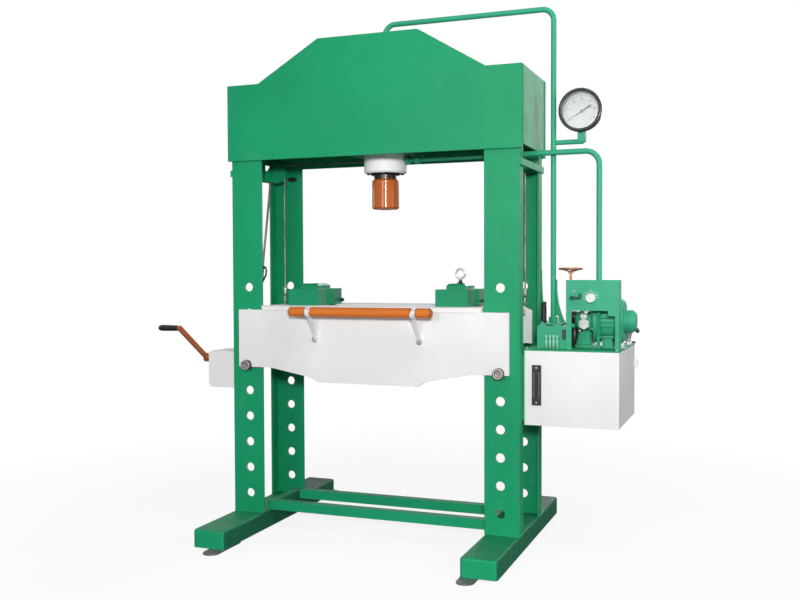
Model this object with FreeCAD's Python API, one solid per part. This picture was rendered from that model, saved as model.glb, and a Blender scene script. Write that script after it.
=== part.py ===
# A free-standing hydraulic workshop press: a welded portal of four angle posts on two feet, a deep
# head beam with the cylinder in it, a bed that hangs on two pins and is lifted by a hand winch, and a
# motor-driven power pack on the right-hand side. Millimetres. X runs across the press, Y from front
# to back and Z up. While it is built, X = 0 is the cylinder's axis, Y = 0 the front face of the front
# posts and Z = 0 the floor. The last lines move the origin to the middle of the whole part's base.
import FreeCAD
import Part
import math
import os

# ---------------------------------------------------------------- driving sizes: frame
post_inner = 553.0            # cylinder axis to a post's inner edge
post_width = 160.0            # angle post, across its wide leg
post_flange = 68.0            # angle post, depth of its outer leg
post_wall = 9.0               # angle post, thickness of both legs
frame_depth = 443.0           # front face of the front posts to the back face of the rear posts
foot_height = 88.0            # top of the feet
foot_reach = 373.0            # the feet stand out this far in front of and behind the posts
foot_wall = 8.0
foot_corner = 14.0
foot_round = 10.0             # along the upper edges of the feet
pad_thickness = 6.0           # floor plates under the feet
pad_radius = 38.0
pad_tongue = 150.0            # length of a floor plate under its foot
pad_hole = 18.0               # anchor holes
pad_stand_out = 42.0          # anchor hole's distance in front of the foot
rail_size = 45.0              # square tube of the base frame
rail_wall = 4.0
pin_hole = 42.0               # holes for the bed's pins
pin_hole_pitch = 125.0
pin_hole_count = 9
pin_hole_top = 1182.0         # height of the highest pair
pin_hole_inset = 73.0         # hole centre from the post's inner edge

# ---------------------------------------------------------------- driving sizes: head beam
beam_bottom = 1790.0
beam_shoulder = 2152.0
crown_top = 2340.0
beam_half = 727.0             # half width
crown_half = 245.0            # half width of the flat top
crown_base_half = 560.0       # half width where the slopes start
beam_plate = 16.0             # front and rear plates
beam_end_lift = 18.0          # the end plates stop this far above the beam's lower edge
cover_plate = 6.0
seat_plate = 30.0             # plate that carries the cylinder
seat_lift = 22.0              # its underside above the beam's lower edge
seat_half = 150.0
web_plate = 12.0
side_bar_drop = 43.0          # flat bars outside the posts, top edge below the beam
side_bar_height = 30.0
side_bar_plate = 10.0

# ---------------------------------------------------------------- driving sizes: cylinder
barrel_diameter = 195.0
barrel_bore = 150.0
barrel_top = 2330.0
barrel_cap = 30.0
barrel_collar = 230.0
barrel_collar_height = 28.0
gland_diameter = 205.0
gland_bottom = 1724.0
gland_chamfer = 8.0
gland_floor = 30.0
rod_diameter = 110.0
rod_shown = 29.0              # bright rod between gland and ram head at rest
ram_head_diameter = 130.0
ram_head_height = 141.0
ram_head_chamfer = 7.0
ram_socket = 50.0             # bore in the ram head's face for a tool
ram_socket_depth = 60.0
piston_height = 60.0
running_gap = 0.3             # between pieces that move on one another

# ---------------------------------------------------------------- driving sizes: bed
bed_half = 670.0              # half length of the side plates
bed_plate = 20.0
bed_clear = 3.0               # side plates off the posts
bed_top = 1074.0              # upper edge of the side plates
bed_end_bottom = 798.0
bed_mid_bottom = 736.0
bed_step_bottom = 758.0
bed_flat_half = 500.0         # where the lower edge leaves the level end
bed_step_half = 285.0
bed_mid_half = 250.0
deck_plate = 20.0
deck_half = 545.0
deck_depth = 153.0            # each of the two deck plates, front to back
bed_web_plate = 16.0
bed_web_bottom = 830.0
bed_web_places = (180.0, 530.0)
lug_plate = 16.0
lug_bottom = 916.0
lug_top = 1086.0
lug_reach = 689.0             # outer end of the right-hand lug
lug_short = 37.0              # the left-hand lug stops this far past its rope
lug_chamfer = 32.0
bed_hole_index = 3            # pair of holes that the bed rests at, counted from the top

pin_head_diameter = 50.0
pin_head_length = 14.0
pin_end_recess = 18.0
pin_overhang = 14.0           # pin past the bed's rear plate

# ---------------------------------------------------------------- driving sizes: on the bed
vee_width = 156.0
vee_depth = 280.0
vee_base = 78.0
vee_hub_rise = 26.0
vee_hub_width = 95.0
vee_hub_depth = 140.0
vee_hub_chamfer = 10.0
vee_notch_depth = 38.0
vee_offset = 376.0            # block centre from the press centre
eye_ring = 54.0               # lifting eye, outside
eye_wire = 10.0
eye_shank = 16.0
eye_collar = 36.0
eye_neck = 14.0               # shank shown between the collar and the ring
spare_diameter = 45.0
spare_length = 705.0
spare_neck_spacing = 514.0
spare_neck_width = 24.0
spare_neck_diameter = 33.0
spare_long_end = 104.0
spare_chamfer = 10.0
spare_reach = 75.0            # bar's axis in front of the bed plate
spare_drop = 3.0              # bar's axis below the deck plates
hook_thickness = 12.0
hook_width = 18.0
hook_bolt_drop = 131.0        # bolts of the hooks below the bar's axis
hook_bolt_head = 28.0

# ---------------------------------------------------------------- driving sizes: hoist
rope = 8.0
sheave_radius = 40.0          # to the rope's centre
sheave_rim = 50.0
sheave_height = 1761.0
sheave_setback = 350.0        # rope plane behind the front face of the posts
groove_pitch = 12.0           # two grooves side by side on the left-hand sheave
left_sheave = -655.0
right_sheave = 615.0
sheave_pin = 16.0
lead_length = 60.0            # the rope hangs straight down this far below the left-hand sheave
clip_height = 1255.0          # where the winch's rope takes hold of the two that rise to the sheave
cheek_plate = 5.0
winch_bottom = 690.0
winch_height = 178.0
winch_width = 145.0
winch_depth = 160.0
winch_front = 5.0             # its front face behind the front face of the posts
winch_bevel = 14.0
drum_radius = 24.0
drum_flange = 36.0
drum_length = 56.0
drum_back = 118.0             # drum axis behind the front face of the posts
drum_height = 777.0
crank_back = 50.0             # crank axis behind the front face of the posts
crank_height = 830.0
crank_shaft = 22.0
crank_stand = 40.0            # crank arm's middle outside the winch case
crank_length = 284.0
crank_angle = 34.0            # arm above the horizontal, pointing to the front
crank_thickness = 12.0
crank_arm_width = 24.0
crank_boss = 44.0
grip_length = 105.0
grip_diameter = 29.0
grip_cap = 6.0                # closed end of the grip

# ---------------------------------------------------------------- driving sizes: tank
tank_gap = 7.0                # mounting plates between post and tank
tank_width = 414.0
tank_depth = 520.0
tank_front = 45.0             # front face behind the front face of the posts
tank_bottom = 578.0
tank_top = 906.0
tank_wall = 4.0
tank_corner = 10.0
lid_plate = 6.0
strip_width = 40.0
strip_height = 176.0
strip_left = 39.0             # from the tank's left edge
strip_bottom = 90.0           # above the tank's bottom
strip_thickness = 8.0
breather_radius = 20.0
breather_height = 70.0

# ---------------------------------------------------------------- driving sizes: panel and valves
panel_left = 896.0
panel_width = 229.0
panel_height = 304.0
panel_front = 100.0
panel_depth = 70.0
panel_sheet = 5.0
panel_leg = 24.0              # left of the window
panel_right_leg = 16.0
window_height = 170.0
window_step = 22.0            # the window's upper right corner is filled this far down
window_step_width = 31.0      # and this far in
wheel_radius = 53.0
wheel_rim = 11.0
wheel_dish = 14.0
wheel_spokes = 5
wheel_left = 10.0             # stem from the panel's left edge
wheel_back = 30.0             # stem behind the panel's front
wheel_rise = 49.0             # rim above the panel
wheel_stem = 11.0
knob_radius = 21.0
knob_depth = 24.0
knob_left = 109.0             # from the panel's left edge
knob_below = 78.0             # below the panel's top
lever_left = 28.0
lever_arm = 38.0
block_left = 763.0
block_width = 130.0
block_front = 120.0
block_depth = 130.0
block_height = 112.0
block_cap = 12.0
solenoid_radius = 12.0
solenoid_height = 95.0
gusset_plate = 6.0
post_gusset_height = 348.0    # gusset between the rear post and the lid
post_gusset_foot = 38.0

# ---------------------------------------------------------------- driving sizes: motor and pump
motor_axis_height = 1030.0
motor_axis_back = 270.0
motor_left = 1010.0
motor_length = 92.0
motor_radius = 82.0
motor_fin = 9.0
motor_fins = 14
motor_flange_radius = 96.0
motor_flange = 8.0
cowl_radius = 100.0
cowl_wall = 3.0
cowl_length = 32.0
cowl_overlap = 6.0            # the cowl's rim reaches this far over the motor's end shield
cowl_hub_radius = 52.0
cowl_hub_length = 50.0
cowl_bevel = 16.0
cowl_slots = 24
shaft_radius = 12.0
coupling_gap = 2.0
bell_length = 26.0
bell_radius = 70.0
pump_radius = 48.0
pump_length = 62.0
pump_flange = 12.0
pump_cap_radius = 22.0
base_plate = 8.0
base_foot_width = 120.0

# ---------------------------------------------------------------- driving sizes: pipes and gauge
pipe = 25.0
pipe_bore = 18.0
feed_rise = 102.0             # feed pipe above the barrel
feed_x = 815.0
feed_bend = 52.0
return_height = 1785.0
return_x = 1026.0
return_back = 186.0           # its upright run passes in front of the feed pipe's plane
return_bend = 62.0
nut_across = 38.0
nut_length = 24.0
gauge_radius = 92.0
gauge_depth = 84.0
gauge_bezel = 9.0
gauge_edge = 4.0
gauge_back_step = 14.0
waist_start = 0.36            # the case narrows behind its bezel, as shares of its depth
waist_end = 0.85
waist_inset = 5.0
gauge_stem = 126.0            # gauge axis from the feed pipe
gauge_height = 1967.0
stub_height = 1832.0
stem_block = 32.0             # square stem under the gauge
needle_length = 118.0
needle_width = 5.0
needle_angle = 31.0           # needle's rest, below the horizontal on the left

# ---------------------------------------------------------------- places worked out from the sizes
middle = frame_depth / 2
post_outer = post_inner + post_width
hole_x = post_inner + pin_hole_inset
hole_heights = [pin_hole_top - pin_hole_pitch * n for n in range(pin_hole_count)]
bed_front = -bed_clear - bed_plate
bed_back = frame_depth + bed_clear + bed_plate
deck_top = bed_top + deck_plate
spare_height = bed_top - spare_drop
hook_bolt_height = spare_height - hook_bolt_drop
feed_height = barrel_top + feed_rise
pin_height = hole_heights[bed_hole_index]
head_top = gland_bottom - rod_shown
head_bottom = head_top - ram_head_height
tank_left = post_outer + tank_gap
lid_top = tank_top + lid_plate
panel_top = lid_top + panel_height
wheel_height = panel_top + wheel_rise
panel_right = panel_left + panel_width
across_y = sheave_setback - groove_pitch / 2
drop_y = sheave_setback + groove_pitch / 2
left_drop_x = left_sheave + sheave_radius
right_drop_x = right_sheave + sheave_radius
winch_right = -post_outer
winch_left = winch_right - winch_width
crank_x = winch_left - crank_stand
return_heading = FreeCAD.Vector(return_x, return_back - middle, 0).normalize()

UP = FreeCAD.Vector(0, 0, 1)
RIGHT = FreeCAD.Vector(1, 0, 0)
BACK = FreeCAD.Vector(0, 1, 0)
nodes = {}


def point(x, y, z):
    return FreeCAD.Vector(x, y, z)


def box(x0, x1, y0, y1, z0, z1):
    return Part.makeBox(x1 - x0, y1 - y0, z1 - z0, point(x0, y0, z0))


def rod(radius, start, axis, length):
    return Part.makeCylinder(radius, length, start, axis)


def cone(radius_a, radius_b, start, axis, length):
    return Part.makeCone(radius_a, radius_b, length, start, axis)


def plate(corners, axis, thickness):
    """Flat plate through 3-D corners, thickened along an axis."""
    outline = Part.makePolygon(corners + corners[:1])
    return Part.Face(outline).extrude(axis * thickness)


def plate_xz(corners, y, thickness):
    return plate([point(x, y, z) for x, z in corners], BACK, thickness)


def plate_xy(corners, z, thickness):
    return plate([point(x, y, z) for x, y in corners], UP, thickness)


def plate_yz(corners, x, thickness):
    return plate([point(x, y, z) for y, z in corners], RIGHT, thickness)


def turned(profile, centre, axis):
    """Solid of revolution; the profile is a list of (radius, place along the axis)."""
    side = BACK if abs(axis.y) < 0.5 else UP
    corners = [centre + axis * along + side * radius for radius, along in profile]
    face = Part.Face(Part.makePolygon(corners + corners[:1]))
    return face.revolve(centre, axis, 360)


def mirrored(shape):
    return shape.mirror(point(0, 0, 0), RIGHT)


def mirrored_back(shape):
    return shape.mirror(point(0, middle, 0), BACK)


def joined(pieces):
    whole = pieces[0]
    for piece in pieces[1:]:
        whole = whole.fuse(piece)
    return whole.removeSplitter()


def group(pieces):
    return Part.makeCompound(pieces)


def bent_path(places, bend):
    """Straight runs joined by tangent arcs of one bend radius."""
    edges = []
    start = places[0]
    for before, corner, after in zip(places, places[1:], places[2:]):
        into = (corner - before).normalize()
        out = (after - corner).normalize()
        turn = into.getAngle(out)
        back_off = bend * math.tan(turn / 2)
        arc_start = corner - into * back_off
        arc_end = corner + out * back_off
        inward = (out - into).normalize()
        centre = corner + inward * (bend / math.cos(turn / 2))
        arc_middle = centre - inward * bend
        edges.append(Part.LineSegment(start, arc_start).toShape())
        edges.append(Part.Arc(arc_start, arc_middle, arc_end).toShape())
        start = arc_end
    edges.append(Part.LineSegment(start, places[-1]).toShape())
    return Part.Wire(edges)


def swept(path, start, heading, radius):
    circle = Part.Wire(Part.makeCircle(radius, start, heading))
    return path.makePipeShell([circle], True, False)


def tube(places, bend, diameter, bore):
    path = bent_path(places, bend)
    heading = places[1] - places[0]
    outside = swept(path, places[0], heading, diameter / 2)
    if bore == 0:
        return outside
    return outside.cut(swept(path, places[0], heading, bore / 2))


def hexagon(centre, axis, across, length):
    side = UP if abs(axis.z) < 0.5 else BACK
    other = axis.cross(side)
    radius = across / math.sqrt(3)
    corners = []
    for n in range(6):
        angle = math.radians(60 * n)
        corners.append(centre + side * (radius * math.cos(angle)) + other * (radius * math.sin(angle)))
    return plate(corners, axis, length)


# ---------------------------------------------------------------- posts
def angle_post(x0):
    """Angle with its wide leg to the front and its outer leg pointing back, drilled for the bed's pins."""
    x1 = x0 + post_width
    open_from, open_to = (x0, x1 - post_wall) if x0 > 0 else (x0 + post_wall, x1)
    top = beam_shoulder - cover_plate
    body = box(x0, x1, 0, post_flange, foot_height, top)
    hollow = box(open_from, open_to, post_wall, post_flange, foot_height, top)
    post = body.cut(hollow)
    hole_place = math.copysign(hole_x, x0)
    for height in hole_heights:
        post = post.cut(rod(pin_hole / 2, point(hole_place, 0, height), BACK, post_wall))
    return post


nodes["post_front_right"] = angle_post(post_inner)
nodes["post_front_left"] = angle_post(-post_outer)
nodes["post_rear_right"] = mirrored_back(nodes["post_front_right"])
nodes["post_rear_left"] = mirrored_back(nodes["post_front_left"])


# ---------------------------------------------------------------- feet, floor plates, base frame
foot_front = -foot_reach
foot_back = frame_depth + foot_reach


def foot():
    """Inverted channel with closed ends, rounded at its four upright corners."""
    outside = box(post_inner, post_outer, foot_front, foot_back, pad_thickness, foot_height)
    upright = [edge for edge in outside.Edges if abs(edge.tangentAt(0).z) > 0.9]
    outside = outside.makeFillet(foot_corner, upright)
    upper = [edge for edge in outside.Edges
             if edge.BoundBox.ZMin > foot_height - running_gap and edge.BoundBox.ZLength < running_gap]
    outside = outside.makeFillet(foot_round, upper)
    inside = box(post_inner + foot_wall, post_outer - foot_wall, foot_front + foot_wall,
                 foot_back - foot_wall, pad_thickness, foot_height - foot_wall)
    return outside.cut(inside)


nodes["foot_right"] = foot()
nodes["foot_left"] = mirrored(foot())

pad_x = post_inner + pad_radius
pad_y = foot_front - pad_stand_out


def floor_pad():
    """Flat plate under the end of a foot, with a round nose and an anchor hole in front of it."""
    nose = rod(pad_radius, point(pad_x, pad_y, 0), UP, pad_thickness)
    tongue = box(pad_x - pad_radius, pad_x + pad_radius, pad_y, foot_front + pad_tongue, 0, pad_thickness)
    hole = rod(pad_hole / 2, point(pad_x, pad_y, 0), UP, pad_thickness)
    return joined([nose, tongue]).cut(hole)


front_pads = [floor_pad(), mirrored(floor_pad())]
nodes["floor_plates"] = group(front_pads + [mirrored_back(pad) for pad in front_pads])


def base_frame():
    """Rectangular ring of inverted channel on top of the feet, two long sides and two ends."""
    half = post_inner + foot_wall + foot_round
    top = foot_height + rail_size
    front = post_flange
    back = frame_depth - post_flange
    ring = box(-half, half, front, back, foot_height, top)
    ring = ring.cut(box(-half + rail_size, half - rail_size, front + rail_size, back - rail_size,
                        foot_height, top))
    hollow = box(-half + rail_wall, half - rail_wall, front + rail_wall, back - rail_wall,
                 foot_height, top - rail_wall)
    core = box(-half + rail_size - rail_wall, half - rail_size + rail_wall, front + rail_size - rail_wall,
               back - rail_size + rail_wall, foot_height, top - rail_wall)
    return ring.cut(hollow.cut(core))


nodes["base_frame"] = base_frame()


# ---------------------------------------------------------------- head beam
def beam_outline():
    """Right half and left half of the head beam's plates: shoulders, slopes and a flat crown."""
    right = [(beam_half, beam_bottom), (beam_half, beam_shoulder), (crown_base_half, beam_shoulder),
             (crown_half, crown_top)]
    left = [(-x, z) for x, z in reversed(right)]
    return right + left


nodes["beam_front_plate"] = plate_xz(beam_outline(), -beam_plate, beam_plate)
nodes["beam_rear_plate"] = plate_xz(beam_outline(), frame_depth, beam_plate)


def closing_plate():
    """End plate and the bent cover over the shoulder and the slope, on the right-hand side."""
    end_plate = box(post_outer, beam_half, 0, frame_depth, beam_bottom + beam_end_lift,
                    beam_shoulder - cover_plate)
    slope = math.atan2(crown_top - beam_shoulder, crown_base_half - crown_half)
    drop = cover_plate / math.cos(slope)
    bend_in = cover_plate * math.tan(slope / 2)
    cover = plate_xz([(beam_half, beam_shoulder - cover_plate), (beam_half, beam_shoulder),
                      (crown_base_half, beam_shoulder), (crown_half, crown_top),
                      (crown_half, crown_top - drop),
                      (crown_base_half - bend_in, beam_shoulder - cover_plate)], 0, frame_depth)
    return [end_plate, cover]


seat_bottom = beam_bottom + seat_lift
seat_top = seat_bottom + seat_plate


def cylinder_seat():
    """Thick plate between the beam's plates that the cylinder hangs in, with a web at each end."""
    seat = box(-seat_half, seat_half, 0, frame_depth, seat_bottom, seat_top)
    seat = seat.cut(rod(barrel_diameter / 2 + running_gap, point(0, middle, seat_bottom), UP, seat_plate))
    web = box(seat_half, seat_half + web_plate, 0, frame_depth, seat_bottom, crown_top - cover_plate)
    return [seat, web, mirrored(web)]


nodes["beam_inner_plates"] = group(cylinder_seat() + closing_plate()
                                   + [mirrored(piece) for piece in closing_plate()])

bar_top = beam_bottom - side_bar_drop


def side_bar():
    """Flat bar outside the posts, from the front one to the rear one."""
    return box(post_outer, post_outer + side_bar_plate, 0, frame_depth, bar_top - side_bar_height, bar_top)


def sheave_cheeks(sheave_x, outer_x, centre_y, width):
    """Two cheek plates with the sheave's pin, welded to the flat bar by their outer ends."""
    front = centre_y - width / 2 - running_gap * 3 - cheek_plate
    rear = centre_y + width / 2 + running_gap * 3
    inner_x = sheave_x + math.copysign(sheave_rim * 0.5, -outer_x)
    low, high = sorted((inner_x, outer_x))
    cheeks = [box(low, high, y, y + cheek_plate, bar_top - side_bar_height, sheave_height + sheave_pin)
              for y in (front, rear)]
    pin_length = rear + cheek_plate - front
    pin = rod(sheave_pin / 2, point(sheave_x, front, sheave_height), BACK, pin_length)
    return joined(cheeks + [pin])


left_sheave_width = 2 * groove_pitch + 4
right_sheave_width = groove_pitch + 4
nodes["sheave_brackets"] = group([side_bar(), mirrored(side_bar()),
                                  sheave_cheeks(left_sheave, -post_outer, sheave_setback, left_sheave_width),
                                  sheave_cheeks(right_sheave, post_outer, across_y, right_sheave_width)])


# ---------------------------------------------------------------- cylinder and ram
piston_top = barrel_top - barrel_cap - running_gap
piston_bottom = piston_top - piston_height
barrel_bottom = gland_bottom + gland_floor


def cylinder_barrel():
    """Thick-walled tube with a welded cap and a collar that sits on the seat plate."""
    shell = rod(barrel_diameter / 2, point(0, middle, barrel_bottom), UP, barrel_top - barrel_bottom)
    collar = rod(barrel_collar / 2, point(0, middle, seat_top), UP, barrel_collar_height)
    bore = rod(barrel_bore / 2, point(0, middle, barrel_bottom), UP,
               piston_top + running_gap - barrel_bottom)
    port = rod(pipe_bore / 2, point(0, middle, barrel_top - barrel_cap), UP, barrel_cap)
    return joined([shell, collar]).cut(bore).cut(port)


def cylinder_gland():
    """Ring nut under the seat plate: it holds the barrel up and guides the rod."""
    radius = gland_diameter / 2
    slip = rod_diameter / 2 + running_gap
    pocket = barrel_diameter / 2 + running_gap
    length = seat_bottom - gland_bottom
    ring = turned([(slip, 0), (radius - gland_chamfer, 0), (radius, gland_chamfer), (radius, length),
                   (pocket, length), (pocket, gland_floor), (slip, gland_floor)],
                  point(0, middle, gland_bottom), UP)
    port = rod(pipe_bore / 2, point(0, middle, return_height), return_heading, radius)
    return ring.cut(port)


def ram_rod():
    """Bright rod and piston in one piece, with a spigot that the ram head is pressed on."""
    slim = rod_diameter / 2
    wide = barrel_bore / 2 - running_gap
    return turned([(0, 0), (slim, 0), (slim, piston_bottom - head_top), (wide, piston_bottom - head_top),
                   (wide, piston_top - head_top), (0, piston_top - head_top)],
                  point(0, middle, head_top), UP)


def ram_head():
    """Painted pressure head with chamfered edges and a blind tool socket in its face."""
    radius = ram_head_diameter / 2
    socket = ram_socket / 2
    return turned([(0, ram_head_height), (0, ram_socket_depth), (socket, ram_socket_depth), (socket, 0),
                   (radius - ram_head_chamfer, 0), (radius, ram_head_chamfer),
                   (radius, ram_head_height - ram_head_chamfer),
                   (radius - ram_head_chamfer, ram_head_height)], point(0, middle, head_bottom), UP)


nodes["cylinder_barrel"] = cylinder_barrel()
nodes["cylinder_gland"] = cylinder_gland()
nodes["ram_rod"] = ram_rod()
nodes["ram_head"] = ram_head()


# ---------------------------------------------------------------- bed
def bed_side_plate(y):
    """Side plate: level ends, a belly in two steps, and a round notch over each pin."""
    right = [(bed_mid_half, bed_mid_bottom), (bed_step_half, bed_step_bottom),
             (bed_flat_half, bed_end_bottom), (bed_half, bed_end_bottom), (bed_half, bed_top)]
    left = [(-x, z) for x, z in reversed(right)]
    side = plate_xz(right + left, y, bed_plate)
    for x in (hole_x, -hole_x):
        side = side.cut(rod(pin_hole / 2, point(x, y, pin_height), BACK, bed_plate))
        side = side.cut(box(x - pin_hole / 2, x + pin_hole / 2, y, y + bed_plate, bed_end_bottom, pin_height))
    return side


nodes["bed_front_plate"] = bed_side_plate(bed_front)
nodes["bed_rear_plate"] = bed_side_plate(bed_back - bed_plate)
deck_plates = [box(-deck_half, deck_half, bed_front, bed_front + deck_depth, bed_top, deck_top),
               box(-deck_half, deck_half, bed_back - deck_depth, bed_back, bed_top, deck_top)]


def bed_web(x):
    return box(x - bed_web_plate / 2, x + bed_web_plate / 2, -bed_clear, frame_depth + bed_clear,
               bed_web_bottom, bed_top)


def hoist_lug(reach, chamfer, y):
    """Upright plate on the right-hand end web that a hoist rope is fastened to, stepped round the deck."""
    step = deck_half + running_gap * 3
    outline = [(end_web, lug_bottom), (reach, lug_bottom), (reach, lug_top - chamfer / 2),
               (reach - chamfer, lug_top), (step, lug_top), (step, bed_top), (end_web, bed_top)]
    return plate_xz(outline, y - lug_plate / 2, lug_plate)


end_web = bed_web_places[-1] + bed_web_plate / 2
right_lug = hoist_lug(lug_reach, lug_chamfer, across_y)
left_lug = mirrored(hoist_lug(lug_short - left_drop_x, lug_chamfer / 4, drop_y))
nodes["bed_deck"] = group(deck_plates
                          + [bed_web(x) for x in bed_web_places[:-1]]
                          + [bed_web(-x) for x in bed_web_places[:-1]]
                          + [joined([bed_web(bed_web_places[-1]), right_lug]),
                             joined([bed_web(-bed_web_places[-1]), left_lug])])


# ---------------------------------------------------------------- pins
def support_pin(x):
    """Round bar through both pairs of posts, with a chamfered, recessed head at the front."""
    head_back = bed_front - running_gap
    front = head_back - pin_head_length
    length = bed_back + pin_overhang - head_back
    slim = pin_hole / 2 - running_gap
    wide = pin_head_diameter / 2
    recess = pin_end_recess / 2
    edge = pin_head_length / 5
    return turned([(0, edge), (recess, edge), (recess, 0), (wide - edge, 0), (wide, edge),
                   (wide, pin_head_length), (slim, pin_head_length),
                   (slim, pin_head_length + length - edge), (slim - edge, pin_head_length + length),
                   (0, pin_head_length + length)], point(x, front, pin_height), BACK)


nodes["support_pin_right"] = support_pin(hole_x)
nodes["support_pin_left"] = support_pin(-hole_x)


# ---------------------------------------------------------------- V-blocks and lifting eye
def vee_block(centre_x):
    """Block with a V notch in each side and a raised, chamfered hub with a threaded eye hole."""
    left = centre_x - vee_width / 2
    right = centre_x + vee_width / 2
    front = middle - vee_depth / 2
    back = middle + vee_depth / 2
    notch = vee_notch_depth
    outline = [(left, front), (right, front), (right, middle - notch), (right - notch, middle),
               (right, middle + notch), (right, back), (left, back), (left, middle + notch),
               (left + notch, middle), (left, middle - notch)]
    base = plate_xy(outline, deck_top, vee_base)
    hub_half = vee_hub_width / 2
    hub = box(centre_x - hub_half, centre_x + hub_half, middle - vee_hub_depth / 2,
              middle + vee_hub_depth / 2, deck_top, deck_top + vee_base + vee_hub_rise)
    hub = hub.makeChamfer(vee_hub_chamfer, [edge for edge in hub.Edges
                                            if edge.CenterOfMass.z > deck_top + vee_base + vee_hub_rise - 1])
    block = joined([base, hub])
    for side, turn in ((left, 1), (right, -1)):
        wedge = plate_xy([(side, middle - notch), (side, middle + notch), (side + turn * notch, middle)],
                         deck_top, vee_base + vee_hub_rise)
        block = block.cut(wedge)
    hole_start = point(centre_x, middle, deck_top + vee_base)
    eye_hole = rod(eye_shank / 2 + running_gap, hole_start, UP, vee_hub_rise)
    return block.cut(eye_hole)


nodes["v_block_left"] = vee_block(-vee_offset)
nodes["v_block_right"] = vee_block(vee_offset)


def lifting_eye(centre_x):
    """Eye bolt: a ring on a collar, with a short shank in the block's hub."""
    hub_top = deck_top + vee_base + vee_hub_rise
    shank = rod(eye_shank / 2, point(centre_x, middle, hub_top - vee_hub_rise + running_gap), UP,
                vee_hub_rise + eye_wire + eye_neck)
    collar = cone(eye_collar / 2, eye_shank / 2, point(centre_x, middle, hub_top), UP, eye_wire)
    ring_radius = (eye_ring - eye_wire) / 2
    ring_height = hub_top + eye_wire + eye_neck + ring_radius
    ring = Part.makeTorus(ring_radius, eye_wire / 2, point(centre_x, middle, ring_height), BACK)
    return joined([shank, collar, ring])


nodes["lifting_eye"] = lifting_eye(vee_offset)


# ---------------------------------------------------------------- spare bar on its hooks
spare_y = bed_front - spare_reach
spare_left = -spare_neck_spacing / 2 - spare_long_end


def spare_bar():
    """Round bar with chamfered ends and a turned neck near each end, lying in the two hooks."""
    wide = spare_diameter / 2
    slim = spare_neck_diameter / 2
    neck = spare_neck_width / 2
    first = spare_long_end
    second = first + spare_neck_spacing
    return turned([(0, 0), (wide - spare_chamfer, 0), (wide, spare_chamfer), (wide, first - neck),
                   (slim, first - neck), (slim, first + neck), (wide, first + neck),
                   (wide, second - neck), (slim, second - neck), (slim, second + neck),
                   (wide, second + neck), (wide, spare_length - spare_chamfer),
                   (wide - spare_chamfer, spare_length), (0, spare_length)],
                  point(spare_left, spare_y, spare_height), RIGHT)


def bar_hook(x):
    """Flat steel hook: a cradle under the bar's neck, an arm down to the bed plate and a bolt."""
    inner = spare_neck_diameter / 2 + running_gap
    outer = inner + hook_thickness
    half = hook_width / 2
    ring = rod(outer, point(x - half, spare_y, spare_height), RIGHT, hook_width)
    ring = ring.cut(rod(inner, point(x - half, spare_y, spare_height), RIGHT, hook_width))
    upper = box(x - half, x + half, spare_y - outer, spare_y + outer, spare_height, spare_height + outer)
    ring = ring.cut(upper)
    arm = plate_yz([(spare_y - hook_thickness * 0.6, spare_height - inner - hook_thickness * 0.4),
                    (spare_y + hook_thickness * 0.6, spare_height - inner - hook_thickness * 0.4),
                    (bed_front, hook_bolt_height + hook_bolt_head),
                    (bed_front, hook_bolt_height - hook_bolt_head / 2),
                    (bed_front - hook_thickness, hook_bolt_height - hook_bolt_head / 2),
                    (bed_front - hook_thickness, hook_bolt_height + hook_bolt_head / 2)],
                   x - half, hook_width)
    head = hexagon(point(x, bed_front - hook_thickness, hook_bolt_height), -BACK, hook_bolt_head * 0.8,
                   hook_thickness * 0.8)
    return joined([ring, arm, head])


nodes["spare_bar"] = spare_bar()
nodes["bar_hooks"] = group([bar_hook(spare_left + spare_long_end),
                            bar_hook(spare_left + spare_long_end + spare_neck_spacing)])


# ---------------------------------------------------------------- sheaves, ropes, winch
def sheave(x, first_groove, grooves):
    """Turned rope sheave with one or two round-bottomed grooves, on its fixed pin."""
    root = sheave_radius - rope / 2 - running_gap
    bore = sheave_pin / 2 + running_gap
    half_land = (groove_pitch - rope) / 2
    profile = [(bore, -groove_pitch / 2 - half_land), (sheave_rim, -groove_pitch / 2 - half_land)]
    for n in range(grooves):
        at = n * groove_pitch
        profile.append((sheave_rim, at - groove_pitch / 2 + half_land / 2))
        profile.append((root, at - rope / 2 - running_gap))
        profile.append((root, at + rope / 2 + running_gap))
        profile.append((sheave_rim, at + groove_pitch / 2 - half_land / 2))
    end = (grooves - 1) * groove_pitch + groove_pitch / 2 + half_land
    profile.append((sheave_rim, end))
    profile.append((bore, end))
    return turned(profile, point(x, first_groove, sheave_height), BACK)


nodes["sheave_left"] = sheave(left_sheave, across_y, 2)
nodes["sheave_right"] = sheave(right_sheave, across_y, 1)


sheave_crest = sheave_height + sheave_radius
winch_side_x = left_sheave - sheave_radius
lead_height = sheave_height - lead_length
clip_share = (clip_height - drum_height) / (lead_height - drum_height)
drum_exit = point(winch_right + drum_length / 2, drum_back + drum_radius, drum_height)
lead_middle = point(winch_side_x, sheave_setback, lead_height)
clip_place = drum_exit + (lead_middle - drum_exit) * clip_share


def straight_rope(start, end):
    along = end - start
    return Part.makeCylinder(rope / 2, along.Length, start, along)


def arc_rope(x, y, first, last):
    """Rope on a sheave, between two angles measured from +X towards +Z."""
    centre = point(x, y, sheave_height)
    angles = [math.radians(angle) for angle in (first, (first + last) / 2, last)]
    places = [centre + point(math.cos(angle), 0, math.sin(angle)) * sheave_radius for angle in angles]
    arc = Part.Wire([Part.Arc(*places).toShape()])
    heading = point(-math.sin(angles[0]), 0, math.cos(angles[0]))
    section = Part.Wire(Part.makeCircle(rope / 2, places[0], heading))
    return arc.makePipeShell([section], True, False)


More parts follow.
